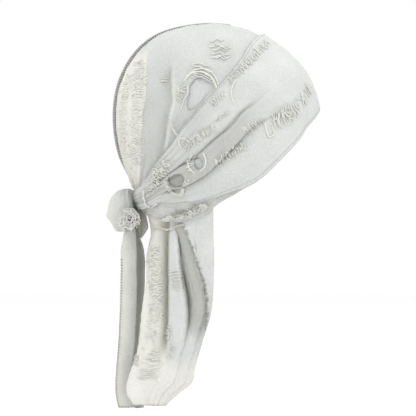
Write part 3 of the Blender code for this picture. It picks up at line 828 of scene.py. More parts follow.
class Cloth:
    """A grid of cloth on surface(u, v), with its relief, torn holes and painted tint."""

    def __init__(self, name, surface, cells, wall, flat, slot, relief, paint):
        across, down = cells
        u, v = (grid.ravel() for grid in np.meshgrid(
            np.linspace(0, 1, across + 1), np.linspace(0, 1, down + 1), indexing="ij"))
        self.cells, self.wall = cells, wall
        base = surface(u, v)
        self.inner = base + relief(base, u, v)[:, None] * self.outward(base)
        self.out = self.outward(self.inner)
        tints = paint(self.inner, u, v)
        faces = grid_faces(across + 1, down + 1)
        torn = self.torn(faces, [outline for host, _, outline in HOLES if host == name])
        kept = faces[~torn]
        points = relaxed(self.inner, kept, faces[torn])
        uvs = np.stack((u * flat[0], v * flat[1]), -1)
        self.piece = grid_part("cloth_" + name, points, kept, tints, uvs)
        thicken(self.piece, wall, 1)
        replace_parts(self.piece, name)
        outer = (self.inner + wall * self.out).tolist()
        self.tree = BVHTree.FromPolygons(outer, kept.tolist())

    def torn(self, faces, outlines):
        """Which faces lie in a hole on the near side."""
        middle = self.inner[faces].mean(1)
        result = np.zeros(len(faces), bool)
        for outline in outlines:
            result |= inside(outline, *on_sheet(middle)) & (middle[:, 1] < 0)
        return result

    def outward(self, points):
        """Directions out of the grid."""
        grid = points.reshape(self.cells[0] + 1, self.cells[1] + 1, 3)
        out = np.cross(np.gradient(grid, axis=0), np.gradient(grid, axis=1)).reshape(-1, 3)
        return out / np.maximum(np.linalg.norm(out, axis=1, keepdims=True), 1e-12)

    def at(self, u, v, lift=0.0):
        """Points on the outer face at shares of the grid."""
        across, down = self.cells
        i = np.clip(np.asarray(u) * across, 0, across - 1e-6)
        j = np.clip(np.asarray(v) * down, 0, down - 1e-6)
        a, b = i.astype(int), j.astype(int)
        s, t = (i - a)[..., None], (j - b)[..., None]
        height = self.wall + np.asarray(lift)[..., None]
        result = 0
        for di, wi in ((0, 1 - s), (1, s)):
            for dj, wj in ((0, 1 - t), (1, t)):
                k = (a + di) * (down + 1) + b + dj
                result = result + wi * wj * (self.inner[k] + height * self.out[k])
        return result

    def normal_at(self, u, v):
        """Directions out of the cloth at shares of the grid."""
        across, down = self.cells
        i = np.rint(np.clip(np.asarray(u) * across, 0, across)).astype(int)
        j = np.rint(np.clip(np.asarray(v) * down, 0, down)).astype(int)
        return self.out[i * (down + 1) + j]

    def trace(self, places, lift, side):
        """Points over the outer face where the drawing's places meet it."""
        forward, up = from_sheet(places)
        lift = np.broadcast_to(lift, forward.shape)
        found = []
        for x, z, rise in zip(forward, up, lift):
            start = Vector((x, side * RAY_START, z))
            hit, out, _, _ = self.tree.ray_cast(start, Vector((0, -side, 0)), RAY_START)
            if hit is not None:
                facing = out if out.y * side > 0 else -out
                found.append(hit + facing * rise)
        return np.array(found)


class Yarns:
    """Tubes of thread gathered in one mesh."""

    def __init__(self, name, slot):
        self.name, self.slot = name, slot
        self.points, self.faces, self.tints = [], [], []
        self.count = 0

    def add(self, path, radius, tint, sides=5):
        """One thread along a path."""
        path = np.asarray(path, float)
        if len(path) < 3:
            return
        ahead = np.gradient(path, axis=0)
        ahead /= np.maximum(np.linalg.norm(ahead, axis=1, keepdims=True), 1e-9)
        across = np.cross(ahead[0], np.eye(3)[np.abs(ahead[0]).argmin()])
        frames = []
        for direction in ahead:
            across = across - across.dot(direction) * direction
            across /= max(np.linalg.norm(across), 1e-9)
            frames.append((across, np.cross(direction, across)))
        frames = np.array(frames)
        ends = np.minimum(np.arange(len(path)), np.arange(len(path))[::-1])
        size = radius * np.where(ends == 0, END_TAPER, 1.0)
        turn = np.linspace(0, math.tau, sides, endpoint=False)
        ring = (frames[:, None, 0] * np.cos(turn)[:, None]
                + frames[:, None, 1] * np.sin(turn)[:, None])
        rings = path[:, None] + ring * size[:, None, None]
        start = self.count
        for i in range(len(path) - 1):
            for j in range(sides):
                k = (j + 1) % sides
                low, high = start + i * sides, start + (i + 1) * sides
                self.faces.append((low + j, low + k, high + k, high + j))
        self.faces.append(tuple(range(start + sides - 1, start - 1, -1)))
        self.faces.append(tuple(range(start + (len(path) - 1) * sides, start + len(path) * sides)))
        self.points.append(rings.reshape(-1, 3))
        self.tints.append(np.repeat(np.broadcast_to(tint, (len(path), 3)), sides, 0))
        self.count += len(path) * sides

    def make(self, finish):
        """The mesh of all the threads."""
        return mesh_piece(self.name, np.concatenate(self.points), self.faces,
                          np.concatenate(self.tints), finish)


def ladder(yarns, host, left, right, threads, sway, rise, tint, waves, side, rng):
    """Loose threads side by side between the two borders of a worn patch."""
    phase = rng.uniform(0, math.tau)
    for i in range(threads):
        at = (i + 0.5 + rng.uniform(-0.3, 0.3)) / threads
        a = along_path(left, at) + rng.normal(0, 1.0, 2)
        b = along_path(right, at) + rng.normal(0, 1.0, 2)
        a, b = a + (b - a) * rng.uniform(0, 0.22), b + (a - b) * rng.uniform(0, 0.22)
        run = b - a
        length = np.linalg.norm(run)
        s = np.linspace(0, 1, max(6, int(length * 1.1)))
        phase += rng.normal(0.25, 0.35)
        wave = sway * rng.uniform(0.6, 1.3) * np.sin(math.tau * waves * s + phase) * hump(s) ** 0.5
        normal = np.array((-run[1], run[0])) / length
        places = a + run * s[:, None] + normal * wave[:, None]
        lift = LEAST_LIFT + MM * rise * rng.uniform(0.4, 1.2) * hump(s)
        shade = np.array(tint) * rng.uniform(0.90, 1.06)
        yarns.add(host.trace(places, lift, side), LADDER_RADIUS * rng.uniform(0.75, 1.25), shade)


def curls(yarns, host, path, count, size, spread, tint, side, rng):
    """Short curled threads that stand out along a line."""
    for _ in range(count):
        centre = along_path(path, rng.uniform(0, 1)) + rng.normal(0, spread, 2)
        turn = rng.uniform(0.35, 0.85) * math.tau * rng.choice((-1, 1))
        angles = rng.uniform(0, math.tau) + np.linspace(0, turn, CURL_POINTS)
        reach = size * rng.uniform(0.5, 1.2)
        oval = rng.uniform(0.5, 1)
        tilt = rng.uniform(0, math.pi)
        x, y = reach * np.cos(angles), reach * oval * np.sin(angles)
        places = centre + np.stack((x * math.cos(tilt) - y * math.sin(tilt),
                                    x * math.sin(tilt) + y * math.cos(tilt)), -1)
        rise = rng.uniform(0.2, 1) * np.linspace(0, 1, CURL_POINTS) ** 0.7
        shade = np.array(tint) * rng.uniform(0.88, 1.06)
        path_over = host.trace(places, LEAST_LIFT + CURL_LIFT * rise, side)
        yarns.add(path_over, CURL_RADIUS * rng.uniform(0.7, 1.2), shade)


def braid(yarns, host, path, strands, width, radius, tint, side, rng):
    """Thick yarns wound round each other along a line."""
    length = path_length(path)
    s = np.linspace(0, 1, max(8, int(length * 1.6)))
    middle = along_path(path, s)
    course = np.gradient(middle, axis=0)
    normal = np.stack((-course[:, 1], course[:, 0]), -1)
    normal /= np.linalg.norm(normal, axis=1, keepdims=True)
    for strand in range(strands):
        phase = math.tau * (strand / strands + length * s / BRAID_PITCH) + rng.uniform(-0.3, 0.3)
        places = middle + normal * (width * np.cos(phase))[:, None]
        rise = BRAID_LIFT + MM * width * (1 + np.sin(phase)) * 0.6
        yarns.add(host.trace(places, rise, side), radius, np.array(tint) * rng.uniform(0.94, 1.04))


def yarn(yarns, host, path, radius, tint, side):
    """One loose yarn along a line."""
    s = np.linspace(0, 1, max(8, int(path_length(path) * 1.2)))
    yarns.add(host.trace(along_path(path, s), YARN_LIFT * (0.3 + hump(s)), side), radius, tint)


def stitches(yarns, cloth, u, v, pitch, length, radius, tint):
    """A row of stitches along a line of shares of a cloth's grid."""
    along = lengths_along(cloth.at(u, v))
    share = np.linspace(-0.5, 0.5, 5)
    for centre in np.arange(pitch, along[-1] - pitch, pitch):
        spots = centre + share * length
        us, vs = np.interp(spots, along, u), np.interp(spots, along, v)
        yarns.add(cloth.at(us, vs, STITCH_LIFT * hump(share + 0.5) - LEAST_LIFT), radius, tint, 4)


def overlock(yarns, cloth, u, v, inward, pitch, radius, tint):
    """Thread sewn over an edge of cloth: a winding round the edge's line."""
    along = lengths_along(cloth.at(u, v) - 0.5 * cloth.wall * cloth.normal_at(u, v))
    count = int(along[-1] / pitch) * OVERLOCK_STEPS
    spots = np.linspace(0, along[-1], count)
    us, vs = np.interp(spots, along, u), np.interp(spots, along, v)
    middle = cloth.at(us, vs) - 0.5 * cloth.wall * cloth.normal_at(us, vs)
    out = cloth.normal_at(us, vs)
    course = np.gradient(middle, axis=0)
    course /= np.linalg.norm(course, axis=1, keepdims=True)
    aside = np.cross(out, course) * inward
    turn = np.arange(count) * math.tau / OVERLOCK_STEPS
    reach = 0.5 * cloth.wall + radius
    loops = middle + out * (reach * np.cos(turn))[:, None]
    loops = loops + aside * (OVERLOCK_WIDTH * (0.5 - 0.5 * np.sin(turn)) - radius)[:, None]
    yarns.add(loops, radius, tint)


# Torn patches of loose threads: (cloth, left border, right border, threads, sway, rise,
# tint, waves); both borders on the drawing, sway and rise in millimetres
LADDERS = (
    (CROWN, ((135, 64), (134, 84), (132, 104), (131, 126), (130, 146), (130, 166)),
     ((147, 62), (148.5, 84), (147.5, 104), (144, 126), (143, 146), (141, 166)),
     92, 0.9, 0.35, PALE_THREAD, 1.4),
    (CROWN, ((127, 74), (122, 90), (119.5, 112), (119.5, 136), (122, 158)),
     ((134, 74), (131, 90), (128, 112), (127, 136), (129, 158)), 58, 0.6, 0.25, PANEL_THREAD, 0.9),
    (CROWN, ((204, 45), (207, 52), (206, 62)), ((229, 42), (233, 52), (232, 64)),
     8, 1.3, 1.1, WHITE, 1.8),
    (CROWN, ((185, 77), (189, 70), (192, 66)), ((217, 92), (216, 80), (212, 70)),
     8, 0.9, 1.6, WHITE, 1.2),
    (CROWN, ((162, 80), (161, 84), (162, 87)), ((168, 79), (169, 83), (168, 87)),
     4, 0.4, 0.8, WHITE, 1.0),
    (CROWN, ((182, 86), (178, 96), (177, 103)), ((189, 84), (186, 94), (182, 104)),
     9, 0.8, 0.9, WHITE, 1.0),
    (WRAP, ((226, 80), (243, 62), (258, 46), (264, 40)),
     ((233, 86), (251, 68), (266, 52), (271, 45)), 19, 0.8, 1.2, WHITE, 0.8),
    (WRAP, ((208, 104), (213, 99), (220, 94)), ((213, 111), (219, 106), (226, 99)),
     7, 0.8, 1.1, WHITE, 0.8),
    (WRAP, ((181, 143), (190, 136), (200, 130), (212, 125)),
     ((187, 152), (196, 146), (207, 139), (217, 132)), 16, 1.0, 1.4, WHITE, 0.9),
    (WRAP, ((268, 114), (275, 108), (284, 104), (295, 102)),
     ((274, 133), (283, 130), (290, 125), (298, 117)), 12, 1.6, 1.4, WHITE, 0.9),
    (WRAP, ((296, 99), (301, 92), (305, 84)), ((303, 110), (308, 101), (312, 93)),
     9, 0.6, 1.1, WHITE, 0.7),
    (WRAP, ((213, 159), (224, 152), (234, 148), (243, 142)),
     ((218, 169), (229, 162), (239, 156), (247, 150)), 13, 1.0, 1.2, WHITE, 0.9),
    (WRAP, ((148, 182), (152, 172), (157, 164), (162, 158)),
     ((160, 191), (165, 181), (170, 173), (172, 166)), 16, 1.3, 1.6, WHITE, 1.2),
    (WRAP, ((184, 163), (186, 167), (187, 172)), ((192, 159), (194, 165), (195, 172)),
     7, 0.7, 1.3, WHITE, 0.8),
    (FLAP, ((151, 246), (149, 262), (148, 282), (150, 303)),
     ((161, 245), (163, 262), (164, 284), (162, 303)), 36, 1.3, 0.9, PALE_THREAD, 1.0),
    (FLAP, ((169, 270), (169, 279), (170, 289)), ((184, 270), (185, 279), (186, 289)),
     9, 0.6, 0.7, WHITE, 1.0),
    (FLAP, ((149, 350), (140, 363), (137, 378)), ((160, 349), (163, 362), (158, 378)),
     15, 1.0, 0.9, PALE_THREAD, 1.3),
    (FLAP, ((150, 305), (147, 320), (145, 338)), ((161, 305), (159, 320), (156, 338)),
     18, 0.7, 0.3, PALE_THREAD, 1.1),
    (FLAP, ((181, 223), (183.5, 229), (194.5, 259), (202.5, 281), (206, 310), (206, 328)),
     ((183.8, 222), (186.3, 228), (197.3, 258), (205.2, 280), (208.8, 309), (208.8, 327)),
     74, 0.15, 0.2, STRIP_THREAD, 0.5),
    (WRAP, ((246, 126), (252, 121), (258, 118)), ((250, 134), (257, 130), (263, 126)),
     7, 0.7, 0.9, WHITE, 0.8),
)

# The same on the far side, which the drawing shows through
FAR_LADDERS = (
    (CROWN, ((150, 74), (147, 90), (146, 108)), ((163, 76), (162, 92), (160, 108)),
     16, 1.1, 0.9, WHITE, 1.3),
    (CROWN, ((196, 58), (201, 50), (208, 46)), ((214, 72), (219, 63), (224, 56)),
     10, 1.0, 1.2, WHITE, 1.1),
    (WRAP, ((232, 96), (243, 84), (252, 72)), ((241, 104), (252, 92), (260, 79)),
     12, 0.9, 1.2, WHITE, 0.9),
    (WRAP, ((192, 150), (203, 142), (214, 134)), ((198, 160), (209, 152), (220, 143)),
     12, 1.0, 1.3, WHITE, 0.9),
    (FLAP, ((176, 280), (174, 298), (176, 316)), ((188, 279), (187, 298), (188, 316)),
     14, 0.9, 0.8, PALE_THREAD, 1.2),
)
WORN_JITTER = ((-1.5, -1.2), (1.5, -1.2), (0, 1.6), (0, 0))    # blurs a patch's border, in mm

# Tangles of curled threads: (cloth, line, threads, size, spread, tint)
TANGLES = (
    (WRAP, ((150, 192), (156, 180), (162, 170), (168, 162)), 46, 2.4, 2.6, WHITE),
    (WRAP, ((213, 127), (221, 120), (229, 113)), 12, 1.5, 0.9, WHITE),
    (WRAP, ((242, 129), (246, 133)), 8, 1.6, 1.0, WHITE),
    (WRAP, ((186, 184), (190, 180)), 8, 1.8, 1.2, WHITE),
    (WRAP, ((276, 120), (286, 118), (294, 108)), 10, 2.2, 2.4, WHITE),
    (BAND, ((160, 222), (170, 219), (180, 218), (192, 213), (206, 205)), 120, 2.1, 1.5, WHITE),
    (BAND, ((176, 214), (186, 213), (198, 208)), 50, 1.7, 1.7, MID_GREY),
    (CROWN, ((184, 86), (179, 100)), 14, 1.6, 1.5, WHITE),
    (FLAP, ((171, 322), (169, 332), (171, 346), (169, 360)), 30, 1.8, 1.2, WHITE),
    (FLAP, ((135, 353), (138, 366)), 14, 1.6, 1.4, CREAM),
    (WRAP, ((184, 149), (197, 140), (211, 132)), 34, 1.6, 1.8, WHITE),
    (WRAP, ((216, 165), (228, 158), (243, 148)), 30, 1.5, 1.8, WHITE),
    (WRAP, ((228, 86), (246, 66), (266, 46)), 30, 1.3, 1.4, WHITE),
    (WRAP, ((268, 124), (284, 116), (298, 106)), 26, 2.4, 2.4, WHITE),
    (CROWN, ((138, 66), (140, 100), (137, 130), (135, 165)), 60, 1.8, 4.5, PALE_THREAD),
    (FLAP, ((155, 250), (155, 300), (152, 340), (149, 372)), 60, 1.8, 3.4, PALE_THREAD),
)

# Thick yarns wound round each other: (cloth, line, strands, width, radius, tint)
BRAIDS = (
    (WRAP, ((165.6, 182), (170, 189), (175, 195), (182, 195), (184, 188)), 5, 1.3, 0.00042, WHITE),
    (CROWN, ((171, 122), (173, 129), (176, 134), (180, 138)), 4, 1.0, 0.00045, WHITE),
    (BAND, ((158, 223), (170, 219), (180, 220), (190, 216), (200, 209), (206, 205)),
     3, 1.3, 0.00030, WHITE),
    (FLAP, ((153, 229), (161, 228), (170, 229.5), (178, 226), (185, 224)), 3, 0.8, 0.00045, CREAM),
)

# The band's torn lower border, on the drawing
BAND_BORDER = ((158, 222), (170, 219), (181, 217), (192, 212), (205, 205))

# Single loose yarns: (cloth, line, radius, tint)
LOOSE_YARNS = (
    (WRAP, ((236, 82), (232, 89), (231, 95), (233, 106)), 0.0008, WHITE),
    (WRAP, ((264, 124), (265, 132), (268, 138), (272, 136), (271, 128)), 0.0009, WHITE),
    (WRAP, ((192, 156), (189, 163), (190, 169), (195, 174)), 0.0008, WHITE),
    (WRAP, ((203, 154), (206, 161), (205, 167), (200, 172)), 0.0008, WHITE),
    (WRAP, ((144.6, 189), (144.8, 197), (148, 205), (154, 206.5), (158, 203)), 0.0011, WHITE),
    (WRAP, ((183, 150), (180, 145), (182, 140), (187, 140)), 0.0008, WHITE),
    (CROWN, ((184, 84), (192, 76), (203, 75), (212, 81), (217, 91)), 0.0009, WHITE),
    (CROWN, ((186, 80), (195, 73), (206, 72), (214, 78), (219, 88)), 0.0008, WHITE),
    (CROWN, ((188, 88), (188, 95), (184, 103), (181, 112)), 0.0007, WHITE),
    (FLAP, ((154, 303), (158, 298), (164, 293)), 0.0006, WHITE),
    (FLAP, ((154, 297), (159, 301), (163, 304)), 0.0006, WHITE),
)

# Holes torn through the cloth: (cloth, tint of the layer behind, outline on the drawing); the wrap
# holes' greyer tints are painted shade inside the hole
HOLES = (
    (CROWN, cloth_colour(218, 221, 220),
     ((190, 88), (197, 80), (206, 80), (213, 87), (214, 91), (205, 100), (195, 111), (188, 112),
      (187, 104), (190, 96))),
    (WRAP, cloth_colour(203, 205, 202),
     ((195, 159), (200, 158), (204, 163), (203, 169), (198, 171), (194, 166))),
    (WRAP, cloth_colour(172, 174, 167),
     ((168, 179), (175, 175), (183, 175), (185.5, 180), (183, 186), (177, 188), (171, 186))),
)


def relief_of(wavelength, height, seed):
    """Small uneven waves in a cloth, the same at any fineness of its grid."""
    def relief(points, u, v):
        soft = ripples(points, wavelength, seed)
        fine = ripples(points, wavelength * 0.3, seed + 1)
        return height * (0.7 * soft + 0.3 * fine)
    return relief


# The crown's tuck on the drawing: (down, across of its folded edge)
TUCK_LINE = ((60, 172), (75, 173), (103, 174.5), (114, 171.7), (151, 166), (175, 160))
# Softer creases beside it: (line on the drawing, depth in mm, half width)
CROWN_CREASES = (
    (((184.5, 104), (181, 112), (177, 121), (171, 133)), -0.9, 1.3),
    (((190, 114), (184, 122), (180, 131)), 0.8, 2.0),
    (((134.5, 156), (134, 164), (133.6, 173)), -1.0, 1.6),
    (((138.5, 176), (140, 183), (142, 189)), -1.0, 1.5),
    (((129, 150), (130, 163), (133, 180)), 0.7, 2.2),
    (((146, 160), (144, 172), (143, 184)), -0.8, 1.5),
    (((240.6, 28.3), (249, 31), (256.2, 35.9)), -0.9, 1.0),
)


def near_line(line, across, down):
    """Distance to a line on the drawing, and the share of its length at the nearest place."""
    at = np.linspace(0, 1, 40)
    path = along_path(line, at)
    offsets = np.stack((across, down), -1)[:, None, :] - path
    distance = np.linalg.norm(offsets, axis=-1)
    nearest = distance.argmin(-1)
    return distance.min(-1), at[nearest]


def creases(table, points):
    """Relief of soft creases and ridges drawn on the near side."""
    across, down = on_sheet(points)
    total = np.zeros(len(points))
    near = points[:, 1] < 0
    for line, depth, width in table:
        distance, share = near_line(line, across[near], down[near])
        fade = hump(0.04 + 0.92 * share) ** 0.5
        total[near] += MM * depth * np.exp(-(distance / width) ** 2) * fade
    return total


def across_at(table, down, index=1):
    """Where a line of a table lies across the drawing, by how far down."""
    rows = np.array(table)
    return np.interp(down, rows[:, 0], rows[:, index])


def ahead_of_tuck(points):
    """How far points lie ahead of the tuck's folded edge, and down the drawing."""
    across, down = on_sheet(points)
    return across - across_at(TUCK_LINE, down), down


def tuck_fold(points):
    """The crown's tuck on the near side: a sharp folded edge that slopes off ahead of it."""
    ahead, down = ahead_of_tuck(points)
    fade = ease((down - 62) / 16) * (1 - ease((down - 150) / 24)) * (points[:, 1] < 0)
    step = 2.8 * ease(0.5 + ahead / 1.1) * np.exp(-np.maximum(ahead, 0) / 10)
    return MM * fade * (step - 0.8 * np.exp(-((ahead + 2.5) / 3) ** 2))


def tuck_shade(points):
    """How shaded the cloth is behind the tuck, and how lit along its folded edge."""
    ahead, down = ahead_of_tuck(points)
    fade = ease((down - 66) / 14) * (1 - ease((down - 148) / 20)) * (points[:, 1] < 0)
    behind = np.where(ahead < 0, np.exp(-(ahead / 7) ** 2), 0)
    return fade * behind, fade * np.exp(-((ahead - 1.0) / 1.3) ** 2)


def worn(name, points):
    """How worn the cloth is, up to 1 inside a patch of loose threads, with uneven borders."""
    across, down = on_sheet(points)
    across = across + 1.3 * ripples(points, 0.012, 81)
    down = down + 1.3 * ripples(points, 0.012, 82)
    result = np.zeros(len(points))
    for side, table in ((-1, LADDERS), (1, FAR_LADDERS)):
        here = points[:, 1] * side > 0
        for host, left, right, *_ in table:
            if host == name:
                outline = list(left) + list(right)[::-1]
                within = sum(inside(outline, across + x, down + y) for x, y in WORN_JITTER)
                result = np.maximum(result, within / len(WORN_JITTER) * here)
    return result * (0.85 + 0.15 * ripples(points, 0.009, 83))


def crown_relief(points, u, v):
    """The crown's relief: its tuck, pulls towards the nape, and worn places a little sunk."""
    across, down = on_sheet(points)
    waves = 0.00035 * ripples(points, 0.022, 11) + 0.00020 * ripples(points, 0.006, 12)
    nape = ease((down - 120) / 60) * ease((170 - across) / 30)
    turn = np.arctan2(down - 205, across - 135)
    pulls = 0.0008 * nape * np.sin(turn * 26 + ripples(points, 0.03, 13))
    side_view = np.stack((points[:, 0], points[:, 2] - CENTRE_Z), -1) / HEAD_RADIUS
    bare = ease((crown_clear(to_chart(side_view)) - 0.005) / 0.05)
    lifted = tuck_fold(points) + creases(CROWN_CREASES, points) + pulls
    return waves + bare * lifted - 0.00015 * worn(CROWN, points)


# Creases of the wrap: (line on the drawing, depth in mm, half width)
WRAP_CREASES = (
    (((229, 113), (221, 119), (213, 127)), -1.2, 1.1),
    (((262, 92), (252, 104), (240, 121), (226, 138)), -1.3, 6.0),
    (((246, 101), (238, 112), (232, 122)), 0.9, 4.0),
    (((236, 76), (226, 90), (214, 108)), -0.6, 3.0),
    (((196, 176), (214, 170), (232, 158)), 0.6, 4.0),
    (((186, 196), (206, 188), (226, 180)), -0.6, 3.0),
    (((160, 199), (174, 201), (196, 201), (220, 196)), -0.9, 1.3),
    (((156, 196), (166, 197), (180, 199)), 0.8, 1.6),
)


def wrap_relief(points, u, v):
    """The wrap's relief: long pulls that run together at the knot."""
    along = np.abs(2 * u - 1)
    waves = 0.00035 * ripples(points, 0.024, 21) + 0.00018 * ripples(points, 0.006, 22)
    pull = ease((along - 0.45) / 0.4) * (1 - 0.6 * ease((along - 0.9) / 0.1))
    pulls = 0.0006 * pull * np.sin(math.tau * 9 * v + 1.5 * ripples(points, 0.05, 23))
    fold = ease((along - 0.30) / 0.2) * (1 - ease((along - 0.9) / 0.1))
    for place, sign in ((UPPER_FOLD_AT, 1), (LOWER_FOLD_AT, -1)):
        behind = (v - place) * sign
        waves = waves - 0.0018 * fold * np.exp(-((behind + 0.014) / 0.018) ** 2)
        waves = waves + 0.0012 * fold * np.exp(-((behind - 0.030) / 0.024) ** 2)
    return waves + pulls + creases(WRAP_CREASES, points) - 0.0003 * worn(WRAP, points)


# Folds down the near side of the flap on the drawing, from back to front: (down, ridge's
# back edge, ridge's front edge, strip's back edge, sewn line)
FLAP_LINES = (
    (222, 171, 174.5, 178, 181),
    (229, 171, 175, 179.5, 183.5),
    (259, 170.5, 182.5, 187, 194.5),
    (281, 170.5, 184.5, 193, 202.5),
    (310, 170.5, 187.5, 202, 206),
    (330, 170, 191, 205, 206),
    (350, 168, 199, 208, 209),
    (400, 160, 214, 216, 218),
)
HEM_END = 330            # how far down the drawing the flap's sewn line runs


def flap_lines(points):
    """Where a point lies ahead of each fold line of the near side, in millimetres."""
    across, down = on_sheet(points)
    return [across - across_at(FLAP_LINES, down, i) for i in range(1, 5)], down


def flap_relief(points, u, v):
    """The flap's relief: its sharper folds on the near side, and soft uneven waves."""
    lengthwise = points * np.array((1.0, 1.0, 0.25))
    waves = 0.0006 * ripples(lengthwise, 0.020, 31) + 0.00022 * ripples(points, 0.006, 32)
    (ridge, front, strip, sewn), down = flap_lines(points)
    near = (points[:, 1] < 0) & (v > 0.13)
    upper = ease((down - 222) / 10)
    shape = 2.2 * ease(0.5 + ridge / 1.2) * np.exp(-np.maximum(ridge, 0) / 9)
    shape = shape - 1.2 * np.exp(-((ridge + 3.0) / 3.5) ** 2)
    shape = shape * (1 - ease((down - 335) / 22))
    dark = ease(0.5 + front / 1.4) * (1 - ease(0.5 + (strip + 1) / 2.4))
    shape = shape - 1.5 * dark * (1 - ease((down - 285) / 40))
    shape = shape - 0.8 * np.exp(-((sewn - 1.2) / 1.2) ** 2) * (1 - ease((down - 292) / 24))
    return waves + MM * near * upper * shape - 0.0003 * worn(FLAP, points)


def blend(first, second, share):
    """Tints between two, point by point."""
    first, second = np.asarray(first), np.asarray(second)
    return first + (second - first) * np.asarray(share)[..., None]


# Front border of the crown's worn cream panel, its warm cream partly painted light, on the
# drawing: (down, across)
PANEL_BORDER = ((20, 160), (60, 148), (96, 148), (112, 144.5), (200, 140))


def crown_paint(points, u, v):
    """Pale grey, greyer lower down as painted shade, with the worn cream panel behind, its warmth
    partly painted light; painted shade behind the tuck and a painted highlight on its edge.
    """
    across, down = on_sheet(points)
    # Painted shade: paler at the top, greyer lower down
    tint = blend(OFF_WHITE, PALE_GREY, ease((down - 40) / 60))
    # The worn cream panel behind; its warm cream is partly painted light
    cream = ease((across_at(PANEL_BORDER, down) - across) / 1.2 + 0.5) * ease((down - 48) / 14)
    tint = blend(tint, WORN_AND_LIT_CREAM, cream)
    # Painted shade: greyer still lower down, off the cream panel
    tint = blend(tint, MID_GREY, 0.15 * ease((down - 85) / 60) * (1 - cream))
    behind, lit = tuck_shade(points)
    # Painted shade behind the tuck, then a painted highlight along its folded edge
    tint = blend(tint, TUCK_SHADE, 0.55 * behind * (1 - cream))
    tint = blend(tint, WHITE, 0.8 * lit)
    # Darker in worn patches: partly their worn tone, partly painted shade between the loose
    # threads
    tint = blend(tint, DARK_GREY, 0.09 * (1 - cream) * worn(CROWN, points))
    # The cream panel is also painted a little brighter, as painted light
    return tint * ((0.93 + 0.05 * cream) * (1 + 0.02 * ripples(points, 0.03, 41)))[:, None]


def wrap_paint(points, u, v):
    """Off-white over the forehead, greyer towards the knot as painted shade; painted shade at and
    between the folds, and dark at the knot.
    """
    along = np.abs(2 * u - 1)
    # Painted shade: greyer from the forehead back towards the knot
    tint = blend(OFF_WHITE, PALE_GREY, ease((along - 0.2) / 0.5))
    # Painted shade along both folds and in the stretch between them
    dark = sum(np.exp(-((v - fold) / 0.02) ** 2) for fold in (UPPER_FOLD_AT, LOWER_FOLD_AT))
    tint = blend(tint, MID_GREY, 0.8 * np.clip(dark, 0, 1) * ease((along - 0.35) / 0.15))
    between = ease((v - UPPER_FOLD_AT + 0.06) / 0.05)
    between = between * (1 - ease((v - LOWER_FOLD_AT - 0.03) / 0.08))
    tint = blend(tint, MID_GREY, 0.85 * between * ease((along - 0.36) / 0.22))
    # Painted shade: dark where the wrap runs into the knot's recess
    tint = blend(tint, DARK_GREY, 0.9 * ease((along - 0.93) / 0.07))
    # Darker in worn patches: partly their worn tone, partly painted shade between the loose
    # threads
    tint = blend(tint, DARK_GREY, 0.12 * worn(WRAP, points))
    return tint * (1 + 0.02 * ripples(points, 0.03, 42))[:, None]


def plain_paint(colour, seed):
    """One colour, a little uneven."""
    def paint(points, u, v):
        return np.array(colour) * (1 + 0.025 * ripples(points, 0.025, seed))[:, None]
    return paint


def band_paint(points, u, v):
    """Grey, darker in the shade of the yarns along its torn lower border."""
    across, down = on_sheet(points)
    near = points[:, 1] < 0
    shade = np.zeros(len(points))
    distance, _ = near_line(BAND_BORDER, across[near], down[near])
    shade[near] = np.exp(-(distance / 4.5) ** 2)
    tint = blend(BAND_GREY, BAND_SHADE, 0.75 * shade)
    return tint * (1 + 0.025 * ripples(points, 0.012, 45))[:, None]


def flap_paint(points, u, v):
    """Cream at the back, its warmth partly painted light; painted shade in the hollows and on the
    folded strip, paler on the ridge and at the front.
    """
    (ridge, front, strip, sewn), down = flap_lines(points)
    near = points[:, 1] < 0
    # Painted shade behind the ridge, fading out lower down
    shaded = ease((ridge + 15) / 13) ** 1.2 * (1 - ease((down - 335) / 25))
    panel = blend(OFF_WHITE, FLAP_PANEL, ease(ridge / 8))
    # Worn cream at the back, partly painted warm light, running into the painted shade behind the
    # ridge
    tint = blend(blend(WORN_AND_LIT_CREAM, FLAP_SHADE, shaded), panel, ease(0.5 + ridge / 1.5))
    # Painted shade in the deep fold, and on the folded strip beside it
    hollow_shade = blend(FLAP_HOLLOW_SHADE, FLAP_DEEP_SHADE, ease((down - 290) / 50))
    fade = 1 - ease((down - 312) / 36)
    tint = blend(tint, hollow_shade, ease(0.5 + front / 1.6) * fade)
    tint = blend(tint, FLAP_STRIP_SHADE, ease(0.5 + strip / 1.6) * fade)
    tint = blend(tint, FLAP_FRONT, ease(0.5 + (sewn - 1) / 1.6))
    tint = blend(tint, FLAP_FOOT, ease((down - 345) / 30))
    far = blend(CREAM, PALE_GREY, ease((np.abs(1 - 2 * u) - 0.3) / 0.3))
    tint = np.where(near[:, None], tint, far)
    # Darker in worn patches: partly their worn tone, partly painted shade between the loose
    # threads
    tint = blend(tint, DARK_GREY, 0.08 * worn(FLAP, points))
    return tint * (1 + 0.02 * ripples(points, 0.03, 43))[:, None]


def tail_paint(points, u, v):
    """Pale outside, cream at the back edge as painted warm light and greyer across as painted
    shade; olive where it folds back, partly the inner face's colour, partly painted shade.
    """
    # Painted light and shade: cream at the back edge, greyer across the face
    tint = blend(CREAM, PALE_GREY, ease(u / 0.5))
    shaded = ease((u - 0.50) / 0.06) * (1 - 0.6 * ease((u - 0.72) / 0.25))
    # Olive where it folds back: partly the inner face's colour, partly painted shade
    tint = blend(tint, INNER_OLIVE_AND_SHADE, 0.85 * shaded)
    return tint * (1 + 0.02 * ripples(points, 0.02, 44))[:, None]


FLAP_CLEARS = 0.0045     # how far the flap's back edge is drawn forward at mid height
TAIL_TUCK = 0.004        # how far a tail's top runs up inside the knot

